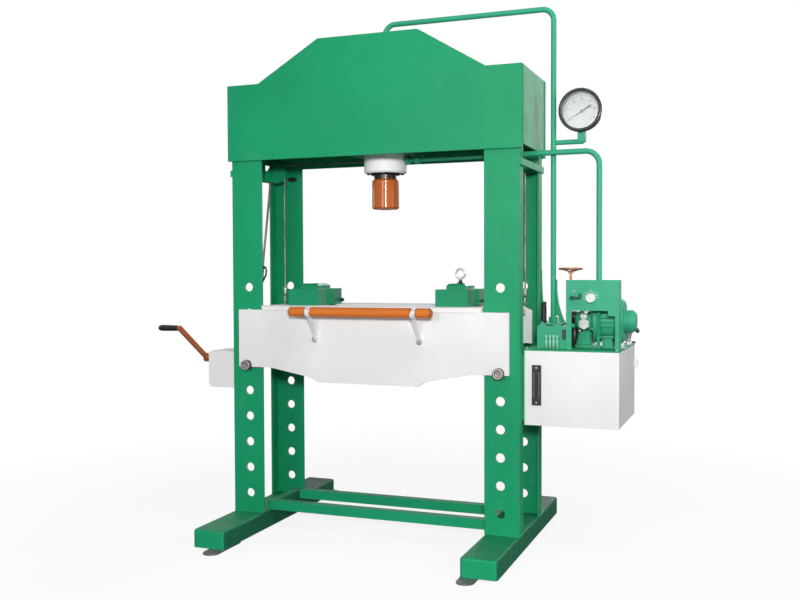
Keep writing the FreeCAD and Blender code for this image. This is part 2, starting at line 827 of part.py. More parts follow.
def rising_rope(y):
    """From the clip to its own groove: slanted, then upright just below the sheave."""
    start = clip_place + BACK * math.copysign(rope / 2 + running_gap, y - sheave_setback)
    return tube([start, point(winch_side_x, y, lead_height), point(winch_side_x, y, sheave_height)],
                lead_length, rope, 0)


nodes["hoist_rope"] = group([
    straight_rope(drum_exit, clip_place), rising_rope(across_y), rising_rope(drop_y),
    arc_rope(left_sheave, across_y, 180, 90), arc_rope(left_sheave, drop_y, 180, 0),
    straight_rope(point(left_sheave, across_y, sheave_crest), point(right_sheave, across_y, sheave_crest)),
    arc_rope(right_sheave, across_y, 90, 0)])
nodes["drop_ropes"] = group([
    straight_rope(point(left_drop_x, drop_y, lug_top), point(left_drop_x, drop_y, sheave_height)),
    straight_rope(point(right_drop_x, across_y, lug_top), point(right_drop_x, across_y, sheave_height))])


def winch_case():
    """Closed gear case with bevelled outer edges, bolted to the left-hand post, with two shaft bosses."""
    front, back = winch_front, winch_front + winch_depth
    top = winch_bottom + winch_height
    outline = [(winch_right, winch_bottom), (winch_right, top), (winch_left + winch_bevel, top),
               (winch_left, top - winch_bevel), (winch_left, winch_bottom + winch_bevel),
               (winch_left + winch_bevel, winch_bottom)]
    case = plate_xz(outline, front, back - front)
    boss_start = point(winch_left - winch_bevel / 2, crank_back, crank_height)
    boss = rod(crank_boss / 2, boss_start, RIGHT, winch_bevel)
    case = joined([case, boss])
    crank_bore = rod(crank_shaft / 2 + running_gap,
                     point(winch_left - winch_bevel, crank_back, crank_height), RIGHT, winch_width / 2)
    drum_bore = rod(drum_radius / 2 + running_gap,
                    point(winch_right - winch_width / 3, drum_back, drum_height), RIGHT, winch_width / 3)
    return case.cut(crank_bore).cut(drum_bore)


nodes["winch_case"] = winch_case()


def rope_drum():
    """Drum with an end flange and the shaft that carries it in the gear case."""
    start = point(winch_right + running_gap, drum_back, drum_height)
    shaft = rod(drum_radius / 2, start - RIGHT * (winch_width / 3 - running_gap * 2), RIGHT, winch_width / 3)
    core = rod(drum_radius - rope / 2 - running_gap, start, RIGHT, drum_length)
    near = rod(drum_flange, start, RIGHT, side_bar_plate / 2)
    far = rod(drum_flange, start + RIGHT * drum_length, RIGHT, side_bar_plate / 2)
    return joined([core, near, far, shaft])


nodes["rope_drum"] = rope_drum()

crank_across = math.cos(math.radians(crank_angle)) * crank_length
crank_up = math.sin(math.radians(crank_angle)) * crank_length
grip_place = point(crank_x, crank_back - crank_across, crank_height + crank_up)


def crank():
    """Flat arm with rounded ends on a shaft, and a pin for the grip at its far end."""
    half = crank_arm_width / 2
    hub_place = point(crank_x - crank_thickness / 2, crank_back, crank_height)
    hub = rod(crank_boss / 2, hub_place, RIGHT, crank_thickness)
    end = rod(half, grip_place - RIGHT * (crank_thickness / 2), RIGHT, crank_thickness)
    along_y = -math.cos(math.radians(crank_angle))
    along_z = math.sin(math.radians(crank_angle))
    corners = []
    for distance, side in ((0, half), (crank_length, half), (crank_length, -half), (0, -half)):
        corners.append((crank_back + along_y * distance + along_z * side,
                        crank_height + along_z * distance - along_y * side))
    arm = plate_yz(corners, crank_x - crank_thickness / 2, crank_thickness)
    shaft = rod(crank_shaft / 2, hub_place, RIGHT, crank_stand + winch_width / 2 - winch_bevel)
    pin_length = crank_thickness / 2 + grip_length - grip_cap - running_gap
    pin = rod(grip_diameter / 4, grip_place - RIGHT * pin_length, RIGHT, pin_length)
    return joined([hub, end, arm, shaft, pin])


def crank_grip():
    """Plastic grip with a closed end that turns on the crank's pin."""
    wide = grip_diameter / 2
    slim = wide * 0.82
    bore = grip_diameter / 4 + running_gap
    return turned([(bore, 0), (slim, 0), (wide * 0.92, grip_length * 0.1), (wide, grip_length * 0.55),
                   (wide, grip_length * 0.9), (wide * 0.8, grip_length), (0, grip_length),
                   (0, grip_length - grip_cap), (bore, grip_length - grip_cap)],
                  grip_place - RIGHT * (crank_thickness / 2 + running_gap), -RIGHT)


nodes["crank"] = crank()
nodes["crank_grip"] = crank_grip()


# ---------------------------------------------------------------- tank
tank_right = tank_left + tank_width
tank_back = tank_front + tank_depth


def tank():
    """Welded oil tank, open on top, with four rounded upright edges."""
    outside = box(tank_left, tank_right, tank_front, tank_back, tank_bottom, tank_top)
    upright = [edge for edge in outside.Edges if abs(edge.tangentAt(0).z) > 0.9]
    outside = outside.makeFillet(tank_corner, upright)
    inside = box(tank_left + tank_wall, tank_right - tank_wall, tank_front + tank_wall,
                 tank_back - tank_wall, tank_bottom + tank_wall, tank_top)
    upright = [edge for edge in inside.Edges if abs(edge.tangentAt(0).z) > 0.9]
    inside = inside.makeFillet(tank_corner - tank_wall, upright)
    return outside.cut(inside)


def tank_lid():
    lid = box(tank_left, tank_right, tank_front, tank_back, tank_top, lid_top)
    upright = [edge for edge in lid.Edges if abs(edge.tangentAt(0).z) > 0.9]
    return lid.makeFillet(tank_corner, upright)


nodes["tank"] = tank()
nodes["tank_lid"] = tank_lid()
pad_inset = tank_corner * 2
tank_mounts = [box(post_outer, tank_left, y, y + post_flange - tank_front, tank_bottom + pad_inset,
                   tank_top - pad_inset) for y in (tank_front, frame_depth - post_flange)]
nodes["level_strip"] = box(tank_left + strip_left, tank_left + strip_left + strip_width,
                           tank_front - strip_thickness, tank_front,
                           tank_bottom + strip_bottom, tank_bottom + strip_bottom + strip_height)

breather_x = tank_right - breather_radius * 1.1
breather_y = tank_back - breather_radius * 4


def breather():
    """Filler and breather: a collar, a tapered cup and a ribbed cap."""
    r = breather_radius
    h = breather_height
    return turned([(0, 0), (r * 0.9, 0), (r * 0.9, h * 0.1), (r * 0.55, h * 0.14), (r, h * 0.8),
                   (r, h * 0.94), (r * 0.8, h), (0, h)], point(breather_x, breather_y, lid_top), UP)


nodes["breather"] = breather()


# ---------------------------------------------------------------- control panel
def control_panel():
    """Bent sheet: front, top and two sides, open at the back, with a stepped window in the front."""
    right = panel_right
    back = panel_front + panel_depth
    shell = box(panel_left, right, panel_front, back, lid_top, panel_top)
    shell = shell.cut(box(panel_left + panel_sheet, right - panel_sheet, panel_front + panel_sheet, back,
                          lid_top, panel_top - panel_sheet))
    low = lid_top
    high = lid_top + window_height
    first = panel_left + panel_leg
    last = right - panel_right_leg
    window = plate_xz([(first, low), (last, low), (last, high - window_step),
                       (last - window_step_width, high - window_step), (last - window_step_width, high),
                       (first, high)],
                      panel_front, panel_sheet)
    knob_hole = rod(knob_spindle + running_gap, point(knob_x, panel_front, knob_z), BACK, panel_sheet)
    lever_hole = rod(knob_spindle + running_gap, point(lever_x, panel_front, knob_z), BACK, panel_sheet)
    stem_hole = rod(wheel_stem / 2 + running_gap, point(stem_x, stem_y, panel_top - panel_sheet), UP,
                    panel_sheet)
    return shell.cut(window).cut(knob_hole).cut(lever_hole).cut(stem_hole)


knob_x = panel_left + knob_left
knob_z = panel_top - knob_below
knob_spindle = 5.0
lever_x = panel_left + lever_left
valve_half = knob_radius * 0.66
valve_top = knob_z + valve_half
stem_y = panel_front + wheel_back
stem_x = panel_left + wheel_left + wheel_stem / 2
nodes["control_panel"] = control_panel()


def control_valve_body():
    """Rotary valve behind the panel that the knob and the lever turn."""
    front = panel_front + panel_sheet
    body = box(lever_x - knob_radius, return_x + pipe, front, return_back + pipe,
               knob_z - valve_half, knob_z + valve_half)
    for x in (knob_x, lever_x):
        body = body.cut(rod(knob_spindle + running_gap, point(x, front, knob_z), BACK, knob_depth))
    return body


nodes["control_valve"] = control_valve_body()


def pressure_knob():
    """Round knob with a grip flat on its spindle and a pointer rib on its face."""
    spindle_length = panel_sheet + knob_depth - running_gap
    back = panel_front - running_gap
    body = turned([(0, 0), (knob_radius * 0.86, 0), (knob_radius, knob_depth * 0.2),
                   (knob_radius, knob_depth), (0, knob_depth)],
                  point(knob_x, back - knob_depth, knob_z), BACK)
    rib = box(knob_x - knob_radius * 0.12, knob_x + knob_radius * 0.12, back - knob_depth * 1.15,
              back - knob_depth, knob_z, knob_z + knob_radius * 0.8)
    spindle = rod(knob_spindle, point(knob_x, back, knob_z), BACK, spindle_length)
    return joined([body, rib, spindle])


def valve_lever():
    """Small cranked lever: a hub on its spindle and a flat arm with a turned-up end."""
    back = panel_front - running_gap
    thick = knob_depth / 3
    hub = rod(knob_spindle * 1.8, point(lever_x, back - thick * 2, knob_z), BACK, thick * 2)
    arm = box(lever_x - knob_spindle, lever_x + lever_arm, back - thick * 2, back - thick,
              knob_z - knob_spindle, knob_z + knob_spindle)
    end = box(lever_x + lever_arm - knob_spindle * 1.6, lever_x + lever_arm, back - thick * 2, back - thick,
              knob_z, knob_z + knob_spindle * 4)
    spindle = rod(knob_spindle, point(lever_x, back, knob_z), BACK, panel_sheet + knob_depth - running_gap)
    return joined([hub, arm, end, spindle])


def handwheel():
    """Dished handwheel: rim, curved-up spokes, hub, and the stem down into the panel."""
    rim_centre = point(stem_x, stem_y, wheel_height)
    rim = Part.makeTorus(wheel_radius - wheel_rim / 2, wheel_rim / 2, rim_centre, UP)
    hub_low = wheel_height - wheel_dish - wheel_rim / 2
    hub = rod(wheel_rim, point(stem_x, stem_y, hub_low), UP, wheel_rim)
    pieces = [rim, hub]
    for n in range(wheel_spokes):
        angle = math.radians(360 / wheel_spokes * n)
        out = point(math.cos(angle), math.sin(angle), 0)
        start = point(stem_x, stem_y, hub_low + wheel_rim / 2)
        end = rim_centre + out * (wheel_radius - wheel_rim / 2)
        pieces.append(Part.makeCylinder(wheel_rim * 0.28, (end - start).Length, start, end - start))
    stem_bottom = panel_top - panel_sheet - wheel_rim * 2
    pieces.append(rod(wheel_stem / 2, point(stem_x, stem_y, stem_bottom), UP, hub_low + 1 - stem_bottom))
    return joined(pieces)


nodes["pressure_knob"] = pressure_knob()
nodes["valve_lever"] = valve_lever()
nodes["handwheel"] = handwheel()


# ---------------------------------------------------------------- manifold, valves, gusset
block_right = block_left + block_width
block_back = block_front + block_depth
block_top = lid_top + block_height


def manifold():
    """Drilled valve block on the tank lid, with a wider cap plate and the feed pipe's port."""
    body = box(block_left, block_right, block_front, block_back, lid_top, block_top - block_cap)
    cap = box(block_left + block_cap, block_right - block_cap * 2, block_front, block_back,
              block_top - block_cap, block_top)
    cap = cap.makeChamfer(block_cap / 4, [edge for edge in cap.Edges if edge.CenterOfMass.z > block_top - 1])
    port = rod(pipe_bore / 2, point(feed_x, middle, block_top - block_cap * 3), UP, block_cap * 3)
    return joined([body, cap]).cut(port)


nodes["manifold"] = manifold()
solenoid_x = feed_x - solenoid_radius * 2.2
solenoid_y = block_front + solenoid_radius * 2


def solenoid():
    """Upright coil with a turned cap, screwed into the manifold's cap plate."""
    r = solenoid_radius
    h = solenoid_height
    return turned([(0, 0), (r, 0), (r, h * 0.78), (r * 0.8, h * 0.8), (r * 0.8, h * 0.84), (r, h * 0.86),
                   (r, h * 0.96), (r * 0.7, h), (0, h)], point(solenoid_x, solenoid_y, block_top), UP)


nodes["solenoid"] = solenoid()


def gusset():
    """Upright plate between the manifold's cap and the feed pipe's side, hollowed by one large arc."""
    inner = feed_x + pipe / 2 + running_gap
    top_x = inner + gusset_plate
    foot_x = block_right - block_cap * 2
    y = middle - gusset_plate / 2
    hollow = point(top_x + (foot_x - top_x) * 0.22, y, block_top + (panel_top - block_top) * 0.42)
    arc = Part.Arc(point(foot_x, y, block_top), hollow, point(top_x, y, panel_top)).toShape()
    beside_nut = feed_x + nut_across / 2 + cheek_plate
    rest = Part.makePolygon([point(top_x, y, panel_top), point(inner, y, panel_top),
                             point(inner, y, block_top + nut_length + cheek_plate),
                             point(beside_nut, y, block_top + nut_length + cheek_plate),
                             point(beside_nut, y, block_top), point(foot_x, y, block_top)])
    outline = Part.Wire([arc] + rest.Edges)
    return Part.Face(outline).extrude(BACK * gusset_plate)


def post_gusset():
    """Upright plate between the tank's lid and the rear post, hollowed by one large arc."""
    y = frame_depth - gusset_plate
    top = lid_top + post_gusset_height
    top_x = post_outer + gusset_plate / 3
    foot_x = post_outer + post_gusset_foot
    hollow = point(top_x + (foot_x - top_x) * 0.22, y, lid_top + post_gusset_height * 0.5)
    arc = Part.Arc(point(foot_x, y, lid_top), hollow, point(top_x, y, top)).toShape()
    rest = Part.makePolygon([point(top_x, y, top), point(post_outer, y, top), point(post_outer, y, lid_top),
                             point(foot_x, y, lid_top)])
    return Part.Face(Part.Wire([arc] + rest.Edges)).extrude(BACK * gusset_plate)


nodes["tank_brackets"] = group(tank_mounts + [gusset(), post_gusset()])


# ---------------------------------------------------------------- motor, bell housing, pump
motor_right = motor_left + motor_length
motor_start = point(motor_left, motor_axis_back, motor_axis_height)
cowl_left = motor_right - cowl_overlap


def ribbed_outline(inner, outer, count):
    """Closed outline in the YZ plane with square ribs round a circle."""
    corners = []
    for n in range(count):
        for radius, share in ((inner, 0.0), (outer, 0.1), (outer, 0.55), (inner, 0.65)):
            angle = 2 * math.pi * (n + share) / count
            corners.append((motor_axis_back + radius * math.cos(angle),
                            motor_axis_height + radius * math.sin(angle)))
    return corners


def motor_body():
    """Ribbed motor housing between two plain end shields, bored for its shaft."""
    shield = motor_flange * 1.5
    ribs = plate_yz(ribbed_outline(motor_radius, motor_radius + motor_fin, motor_fins),
                    motor_left + shield, motor_length - 2 * shield)
    near = rod(motor_flange_radius, motor_start, RIGHT, shield)
    far = rod(cowl_radius - cowl_wall, point(motor_right - shield, motor_axis_back, motor_axis_height),
              RIGHT, shield)
    bore = rod(shaft_radius + running_gap, motor_start, RIGHT, motor_length)
    return joined([near, ribs, far]).cut(bore)


def motor_cowl():
    """Fan cowl: a shallow dish the size of the end shield and a smaller bevelled cap on it."""
    wall = cowl_wall
    end = cowl_length + cowl_hub_length
    shell = turned([(cowl_radius - wall, 0), (cowl_radius, 0), (cowl_radius, cowl_length * 0.6),
                    (cowl_radius - cowl_length * 0.4, cowl_length), (cowl_hub_radius, cowl_length),
                    (cowl_hub_radius, end - cowl_bevel), (cowl_hub_radius - cowl_bevel, end),
                    (0, end), (0, end - wall), (cowl_hub_radius - cowl_bevel - wall * 0.4, end - wall),
                    (cowl_hub_radius - wall, end - cowl_bevel - wall * 0.4),
                    (cowl_hub_radius - wall, cowl_length - wall),
                    (cowl_radius - cowl_length * 0.4 - wall * 0.4, cowl_length - wall),
                    (cowl_radius - wall, cowl_length * 0.6 - wall * 0.4)],
                   point(cowl_left, motor_axis_back, motor_axis_height), RIGHT)
    slot_inner = cowl_hub_radius + wall * 3
    slot_outer = cowl_radius - cowl_length * 0.4 - wall * 2
    for n in range(cowl_slots):
        angle = 360 / cowl_slots * n
        slot = box(cowl_left + cowl_length - wall * 2, cowl_left + cowl_length + wall,
                   motor_axis_back - wall, motor_axis_back + wall,
                   motor_axis_height + slot_inner, motor_axis_height + slot_outer)
        slot.rotate(point(cowl_left, motor_axis_back, motor_axis_height), RIGHT, angle)
        shell = shell.cut(slot)
    return shell


def motor_rotor():
    """Shaft from the pump coupling through the motor, with the coupling half and the fan on its ends."""
    coupling = rod(shaft_radius * 2, motor_start - RIGHT * (bell_length - coupling_gap), RIGHT,
                   bell_length - coupling_gap * 3)
    shaft = rod(shaft_radius, motor_start - RIGHT * (bell_length - coupling_gap), RIGHT,
                motor_length + bell_length + cowl_length)
    fan_x = motor_right + cowl_wall
    hub = rod(shaft_radius * 2, point(fan_x, motor_axis_back, motor_axis_height), RIGHT, cowl_length * 0.6)
    pieces = [shaft, coupling, hub]
    for n in range(6):
        blade = box(fan_x, fan_x + cowl_length * 0.55, motor_axis_back - cowl_wall / 2,
                    motor_axis_back + cowl_wall / 2, motor_axis_height,
                    motor_axis_height + cowl_radius * 0.74)
        blade.rotate(motor_start, RIGHT, 60 * n)
        pieces.append(blade)
    return joined(pieces)


def bell_housing():
    """Cast bell between pump and motor, hollow round the coupling."""
    wall = pump_flange / 2
    start = motor_start - RIGHT * bell_length
    inner = shaft_radius * 2 + wall
    return turned([(inner, 0), (pump_radius + wall, 0), (bell_radius, bell_length * 0.55),
                   (motor_flange_radius, bell_length * 0.6), (motor_flange_radius, bell_length),
                   (inner, bell_length)], start, RIGHT)


def pump():
    """Gear pump: mounting flange, rounded body and end cover, on one axis with the motor."""
    start = motor_start - RIGHT * (bell_length + pump_flange + pump_length)
    r = pump_radius
    length = pump_length
    body = turned([(0, 0), (r * 0.55, 0), (r * 0.82, length * 0.12), (r * 0.97, length * 0.34),
                   (r, length * 0.55), (r * 0.9, length * 0.8), (r * 0.9, length),
                   (r + pump_flange / 2, length), (r + pump_flange / 2, length + pump_flange),
                   (0, length + pump_flange)], start, RIGHT)
    return body


pump_left = motor_left - bell_length - pump_flange - pump_length
cap_x = pump_left + pump_length * 0.72


def pump_caps():
    """Two pale threaded plugs on the pump's front: the wide suction plug and the pressure plug over it."""
    wide = pump_cap_radius
    low = hexagon(point(cap_x, motor_axis_back - pump_radius * 0.85, motor_axis_height - wide * 0.55), -BACK,
                  wide * 2, wide)
    high = rod(wide * 0.72, point(cap_x, motor_axis_back - pump_radius * 0.6, motor_axis_height + wide * 1.15),
               -BACK, pump_radius * 0.25 + wide)
    return [cap.cut(pump()) for cap in (low, high)]


def motor_mount():
    """Base plate on the tank lid with a saddle under the motor and a pedestal under the pump."""
    half = base_foot_width / 2
    base = box(pump_left + pump_length / 2, motor_right - motor_flange * 2, motor_axis_back - half,
               motor_axis_back + half, lid_top, lid_top + base_plate)
    saddle = box(motor_left + motor_flange * 3, motor_right - motor_flange * 3,
                 motor_axis_back - half * 0.8, motor_axis_back + half * 0.8, lid_top,
                 motor_axis_height - motor_radius * 0.7)
    seat = rod(motor_radius + motor_fin + running_gap, motor_start, RIGHT, motor_length)
    pedestal = box(pump_left + pump_length * 0.55, pump_left + pump_length * 0.95,
                   motor_axis_back - half * 0.35, motor_axis_back + half * 0.35, lid_top,
                   motor_axis_height - pump_radius * 0.5)
    round_pump = rod(pump_radius + running_gap, point(pump_left, motor_axis_back, motor_axis_height), RIGHT,
                     pump_length)
    return joined([base, saddle.cut(seat), pedestal.cut(round_pump)])


nodes["motor_body"] = motor_body()
nodes["motor_cowl"] = motor_cowl()
nodes["motor_rotor"] = motor_rotor()
nodes["bell_housing"] = bell_housing()
nodes["pump"] = pump()
nodes["pump_caps"] = group(pump_caps())
nodes["motor_mount"] = motor_mount()


# ---------------------------------------------------------------- pipes and their fittings
feed_start = point(0, middle, barrel_top)
feed_end = point(feed_x, middle, block_top)
nodes["feed_pipe"] = tube([feed_start, point(0, middle, feed_height), point(feed_x, middle, feed_height),
                           feed_end], feed_bend, pipe, pipe_bore)
gland_side = gland_diameter / 2
return_start = point(0, middle, return_height) + return_heading * gland_side
return_end = point(return_x, return_back, valve_top)
nodes["return_pipe"] = tube([return_start, point(return_x, return_back, return_height), return_end],
                            return_bend, pipe, pipe_bore)


def pipe_nut(place, axis):
    """Hexagon union nut round a pipe."""
    nut = hexagon(place, axis, nut_across, nut_length)
    return nut.cut(rod(pipe / 2 + running_gap, place, axis, nut_length))


gauge_x = feed_x + gauge_stem
stub = pipe * 0.88


def gauge_stub():
    """Level branch from the feed pipe, closed by a round end, with the gauge's square stem on it."""
    start = point(feed_x, middle, stub_height)
    branch = rod(stub / 2, start, RIGHT, gauge_stem + stem_block / 8)
    cap = Part.makeSphere(stub / 2, start + RIGHT * (gauge_stem + stem_block / 8))
    half = stem_block / 2
    front = middle + gauge_depth * (waist_start - 0.5)
    depth = gauge_depth * (waist_end - waist_start)
    block = box(gauge_x - half, gauge_x + half, front, front + depth, stub_height, gauge_height)
    round_case = rod(gauge_radius - waist_inset, point(gauge_x, front, gauge_height), BACK, depth)
    return joined([branch, cap, block.cut(round_case)]).cut(rod(pipe / 2, start - UP * pipe, UP, pipe * 2))


nipple_y = motor_axis_back - pump_radius / 2
nipple_z = motor_axis_height - pump_radius / 2
pump_nipple = rod(stub / 2, point(block_right, nipple_y, nipple_z), RIGHT, pump_left - block_right)
nodes["pipe_fittings"] = group([
    pipe_nut(feed_start, UP), pipe_nut(feed_end, UP), pipe_nut(return_end, UP),
    pipe_nut(return_start + return_heading * 2, return_heading),
    pipe_nut(return_start + return_heading * (nut_length * 2.2), return_heading),
    gauge_stub(), pump_nipple])


# ---------------------------------------------------------------- pressure gauge
gauge_front = middle - gauge_depth / 2
gauge_centre = point(gauge_x, gauge_front, gauge_height)
dial_radius = gauge_radius - gauge_bezel
dial_depth = gauge_depth * 0.62
dial_plate = 2.0
spindle_radius = 3.0
spindle_hole = spindle_radius + running_gap


def gauge_case():
    """Round case: rolled bezel, waist, stepped back, and a deep recess for the dial."""
    r = gauge_radius
    d = gauge_depth
    waist = r - waist_inset
    case = turned([(dial_radius, 0), (r - gauge_edge, 0), (r, gauge_edge), (r, d * waist_start - gauge_edge / 2),
                   (waist, d * waist_start), (waist, d * waist_end), (r - gauge_back_step, d), (0, d), (0, dial_depth), (dial_radius, dial_depth)],
                  gauge_centre, BACK)
    return case.cut(rod(spindle_hole, gauge_centre + BACK * dial_depth, BACK, d * 0.25))


def gauge_disc(depth, thickness, hole):
    disc = rod(dial_radius - running_gap, gauge_centre + BACK * depth, BACK, thickness)
    if hole == 0:
        return disc
    return disc.cut(rod(hole, gauge_centre + BACK * depth, BACK, thickness))


def gauge_needle():
    """Flat pointer with a tail, on its hub and spindle; at rest it points down to the left."""
    depth = dial_depth - dial_plate - 6
    tip = needle_length * 0.6
    tail = needle_length * 0.4
    blade = Part.Face(Part.makePolygon([gauge_centre + BACK * depth + point(x, 0, z) for x, z in (
        (-tip, 0), (0, needle_width / 2), (tail, needle_width), (tail, -needle_width),
        (0, -needle_width / 2), (-tip, 0))])).extrude(BACK * 1.5)
    blade.rotate(gauge_centre, BACK, -needle_angle)
    hub = rod(needle_width * 1.4, gauge_centre + BACK * (depth - 1), BACK, 3.5)
    spindle = rod(spindle_radius, gauge_centre + BACK * depth, BACK, gauge_depth * 0.25)
    return joined([blade, hub, spindle])


nodes["gauge_case"] = gauge_case()
nodes["gauge_dial"] = gauge_disc(dial_depth - dial_plate, dial_plate, spindle_hole)
nodes["gauge_glass"] = gauge_disc(gauge_depth * 0.06, gauge_bezel / 3, 0)
nodes["gauge_needle"] = gauge_needle()


# ---------------------------------------------------------------- origin and output
whole = Part.makeCompound(list(nodes.values())).BoundBox
origin = point((whole.XMin + whole.XMax) / 2, (whole.YMin + whole.YMax) / 2, whole.ZMin)
os.makedirs("parts", exist_ok=True)
for name, shape in nodes.items():
    moved = shape.copy()
    moved.translate(-origin)
    moved.exportStep("parts/" + name + ".step")
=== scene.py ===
# A free-standing hydraulic workshop press in gloss green and pale grey paint: angle-post portal,
# ram, winch-lifted bed on two pins, and a power pack with tank, pump, panel and gauge on the right.
# The CAD model gives the rigid shapes; this script gives finishes and the small fittings on them.
# Lengths are in metres, +Z is up and the press's front looks towards -Y.
import math

import bmesh
import bpy
from mathutils import Euler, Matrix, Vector


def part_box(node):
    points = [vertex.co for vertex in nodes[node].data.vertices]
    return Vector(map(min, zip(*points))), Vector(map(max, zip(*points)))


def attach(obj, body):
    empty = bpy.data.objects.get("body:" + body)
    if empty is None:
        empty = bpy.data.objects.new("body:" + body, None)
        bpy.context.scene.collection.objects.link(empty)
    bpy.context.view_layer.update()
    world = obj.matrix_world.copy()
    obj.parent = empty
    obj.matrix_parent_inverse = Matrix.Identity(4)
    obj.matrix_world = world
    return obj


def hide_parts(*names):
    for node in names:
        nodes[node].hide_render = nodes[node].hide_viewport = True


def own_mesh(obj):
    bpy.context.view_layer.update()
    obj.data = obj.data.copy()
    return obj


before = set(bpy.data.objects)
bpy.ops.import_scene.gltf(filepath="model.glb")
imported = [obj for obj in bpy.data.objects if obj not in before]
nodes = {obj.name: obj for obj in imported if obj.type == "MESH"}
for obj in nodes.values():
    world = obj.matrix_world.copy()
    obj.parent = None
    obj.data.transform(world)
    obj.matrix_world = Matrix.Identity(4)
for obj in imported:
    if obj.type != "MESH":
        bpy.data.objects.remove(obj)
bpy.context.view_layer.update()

# ------------ camera
# The photograph was taken from the front right at about chest height, with a slightly long lens.
# Its place and heading come from the press's own straight edges.
dip, heading, roll = 1.7799, 20.8364, -0.2091  # degrees
camera_data = bpy.data.cameras.new("camera")
camera_data.lens = 43.574
camera_data.sensor_width = 36.0
camera_data.clip_end = 200.0
camera = bpy.data.objects.new("camera", camera_data)
camera.location = (1.64045, -4.3427, 1.2626)
level = Euler((math.radians(90 - dip), 0, math.radians(heading))).to_matrix()
camera.rotation_euler = (level @ Euler((0, 0, math.radians(roll))).to_matrix()).to_euler()
bpy.context.scene.collection.objects.link(camera)
bpy.context.scene.camera = camera


# ------------ shader sums
# A socket of a material's nodes, wrapped so that sums on sockets read as sums. Any other kind of
# node comes from make, which takes the kind, its settings and the values or links of its sockets.
class Shade:
    def __init__(self, tree, socket):
        self.tree = tree
        self.socket = socket

    def make(self, kind, settings, inputs, output=0):
        node = self.tree.nodes.new(kind)
        for name, value in settings.items():
            setattr(node, name, value)
        for name, value in inputs.items():
            if isinstance(value, Shade):
                self.tree.links.new(value.socket, node.inputs[name])
            else:
                node.inputs[name].default_value = value
        return Shade(self.tree, node.outputs[output])

    def sum(self, operation, first, second):
        return self.make("ShaderNodeMath", {"operation": operation}, {0: first, 1: second})

    def __add__(self, other):
        return self.sum("ADD", self, other)

    __radd__ = __add__

    def __sub__(self, other):
        return self.sum("SUBTRACT", self, other)

    def __rsub__(self, other):
        return self.sum("SUBTRACT", other, self)

    def __mul__(self, other):
        return self.sum("MULTIPLY", self, other)

    __rmul__ = __mul__

    def __abs__(self):
        return self.sum("ABSOLUTE", self, 0.0)

    def over(self, low, high):
        """This value spread from 0 at low to 1 at high, and held there."""
        return self.make("ShaderNodeMapRange", {"clamp": True},
                         {"Value": self, "From Min": low, "From Max": high})

    def mixed(self, first, second):
        """The first colour where this value is 0, the second where it is 1."""
        return self.make("ShaderNodeMix", {"data_type": "RGBA"}, {0: self, 6: first, 7: second}, 2)

    def into(self, shader, name):
        self.tree.links.new(self.socket, shader.inputs[name])


# ------------ floor, backdrop and lights
# A plain white studio: the floor keeps a soft shadow, and what the camera, metal and glass see
# beyond it is white. A lamp stands by the camera, and weaker ones round the press and above it.
def new_finish(name):
    """A material with its shader and the place on the part, in metres."""
    finish = bpy.data.materials.new(name)
    finish.use_nodes = True
    tree = finish.node_tree
    place = Shade(tree, None).make("ShaderNodeTexCoord", {}, {}, "Object")
    return finish, tree.nodes["Principled BSDF"], place


def fixed(shader, levels):
    """Levels that are the same all over the surface, set straight on the shader's sockets."""
    for name, value in levels.items():
        shader.inputs[name].default_value = value


white = (1, 1, 1, 1)
dim_sky = (0.14, 0.14, 0.15, 1)
lit_floor, seen_floor = (0.22, 0.22, 0.23, 1), (0.92, 0.92, 0.93, 1)
fade_start, fade_end, least_glow = 1.6, 3.2, 0.84  # where the floor's shadow fades to white
floor_corners = [(-14, -9, 0), (14, -9, 0), (14, 22, 0), (-14, 22, 0)]

world = bpy.data.worlds.new("studio")
world.use_nodes = True
bpy.context.scene.world = world
sky = Shade(world.node_tree, None)
camera_ray, mirror_ray, glass_ray = (sky.make("ShaderNodeLightPath", {}, {}, "Is %s Ray" % kind)
                                     for kind in ("Camera", "Glossy", "Transmission"))
seen = (camera_ray + mirror_ray + glass_ray).over(0.0, 1.0)
seen.mixed(dim_sky, white).into(world.node_tree.nodes["Background"], "Color")

floor_mesh = bpy.data.meshes.new("floor")
floor_mesh.from_pydata(floor_corners, [], [(0, 1, 2, 3)])
floor = bpy.data.objects.new("floor", floor_mesh)
bpy.context.scene.collection.objects.link(floor)
floor_white, shader, spot = new_finish("floor_white")
fixed(shader, {"Roughness": 0.8, "Specular IOR Level": 0.1})
watched = spot.make("ShaderNodeLightPath", {}, {}, "Is Camera Ray")
watched.mixed(lit_floor, seen_floor).into(shader, "Base Color")
away = spot.make("ShaderNodeVectorMath", {"operation": "LENGTH"}, {0: spot}, "Value")
share = watched * (away.over(fade_start, fade_end) * (1 - least_glow) + least_glow)
glow = spot.make("ShaderNodeEmission", {}, {"Color": white, "Strength": 1.0})
floor_coat = Shade(floor_white.node_tree, shader.outputs[0])
floor_look = spot.make("ShaderNodeMixShader", {}, {0: share, 1: floor_coat, 2: glow})
floor_look.into(floor_white.node_tree.nodes["Material Output"], "Surface")
floor_mesh.materials.append(floor_white)

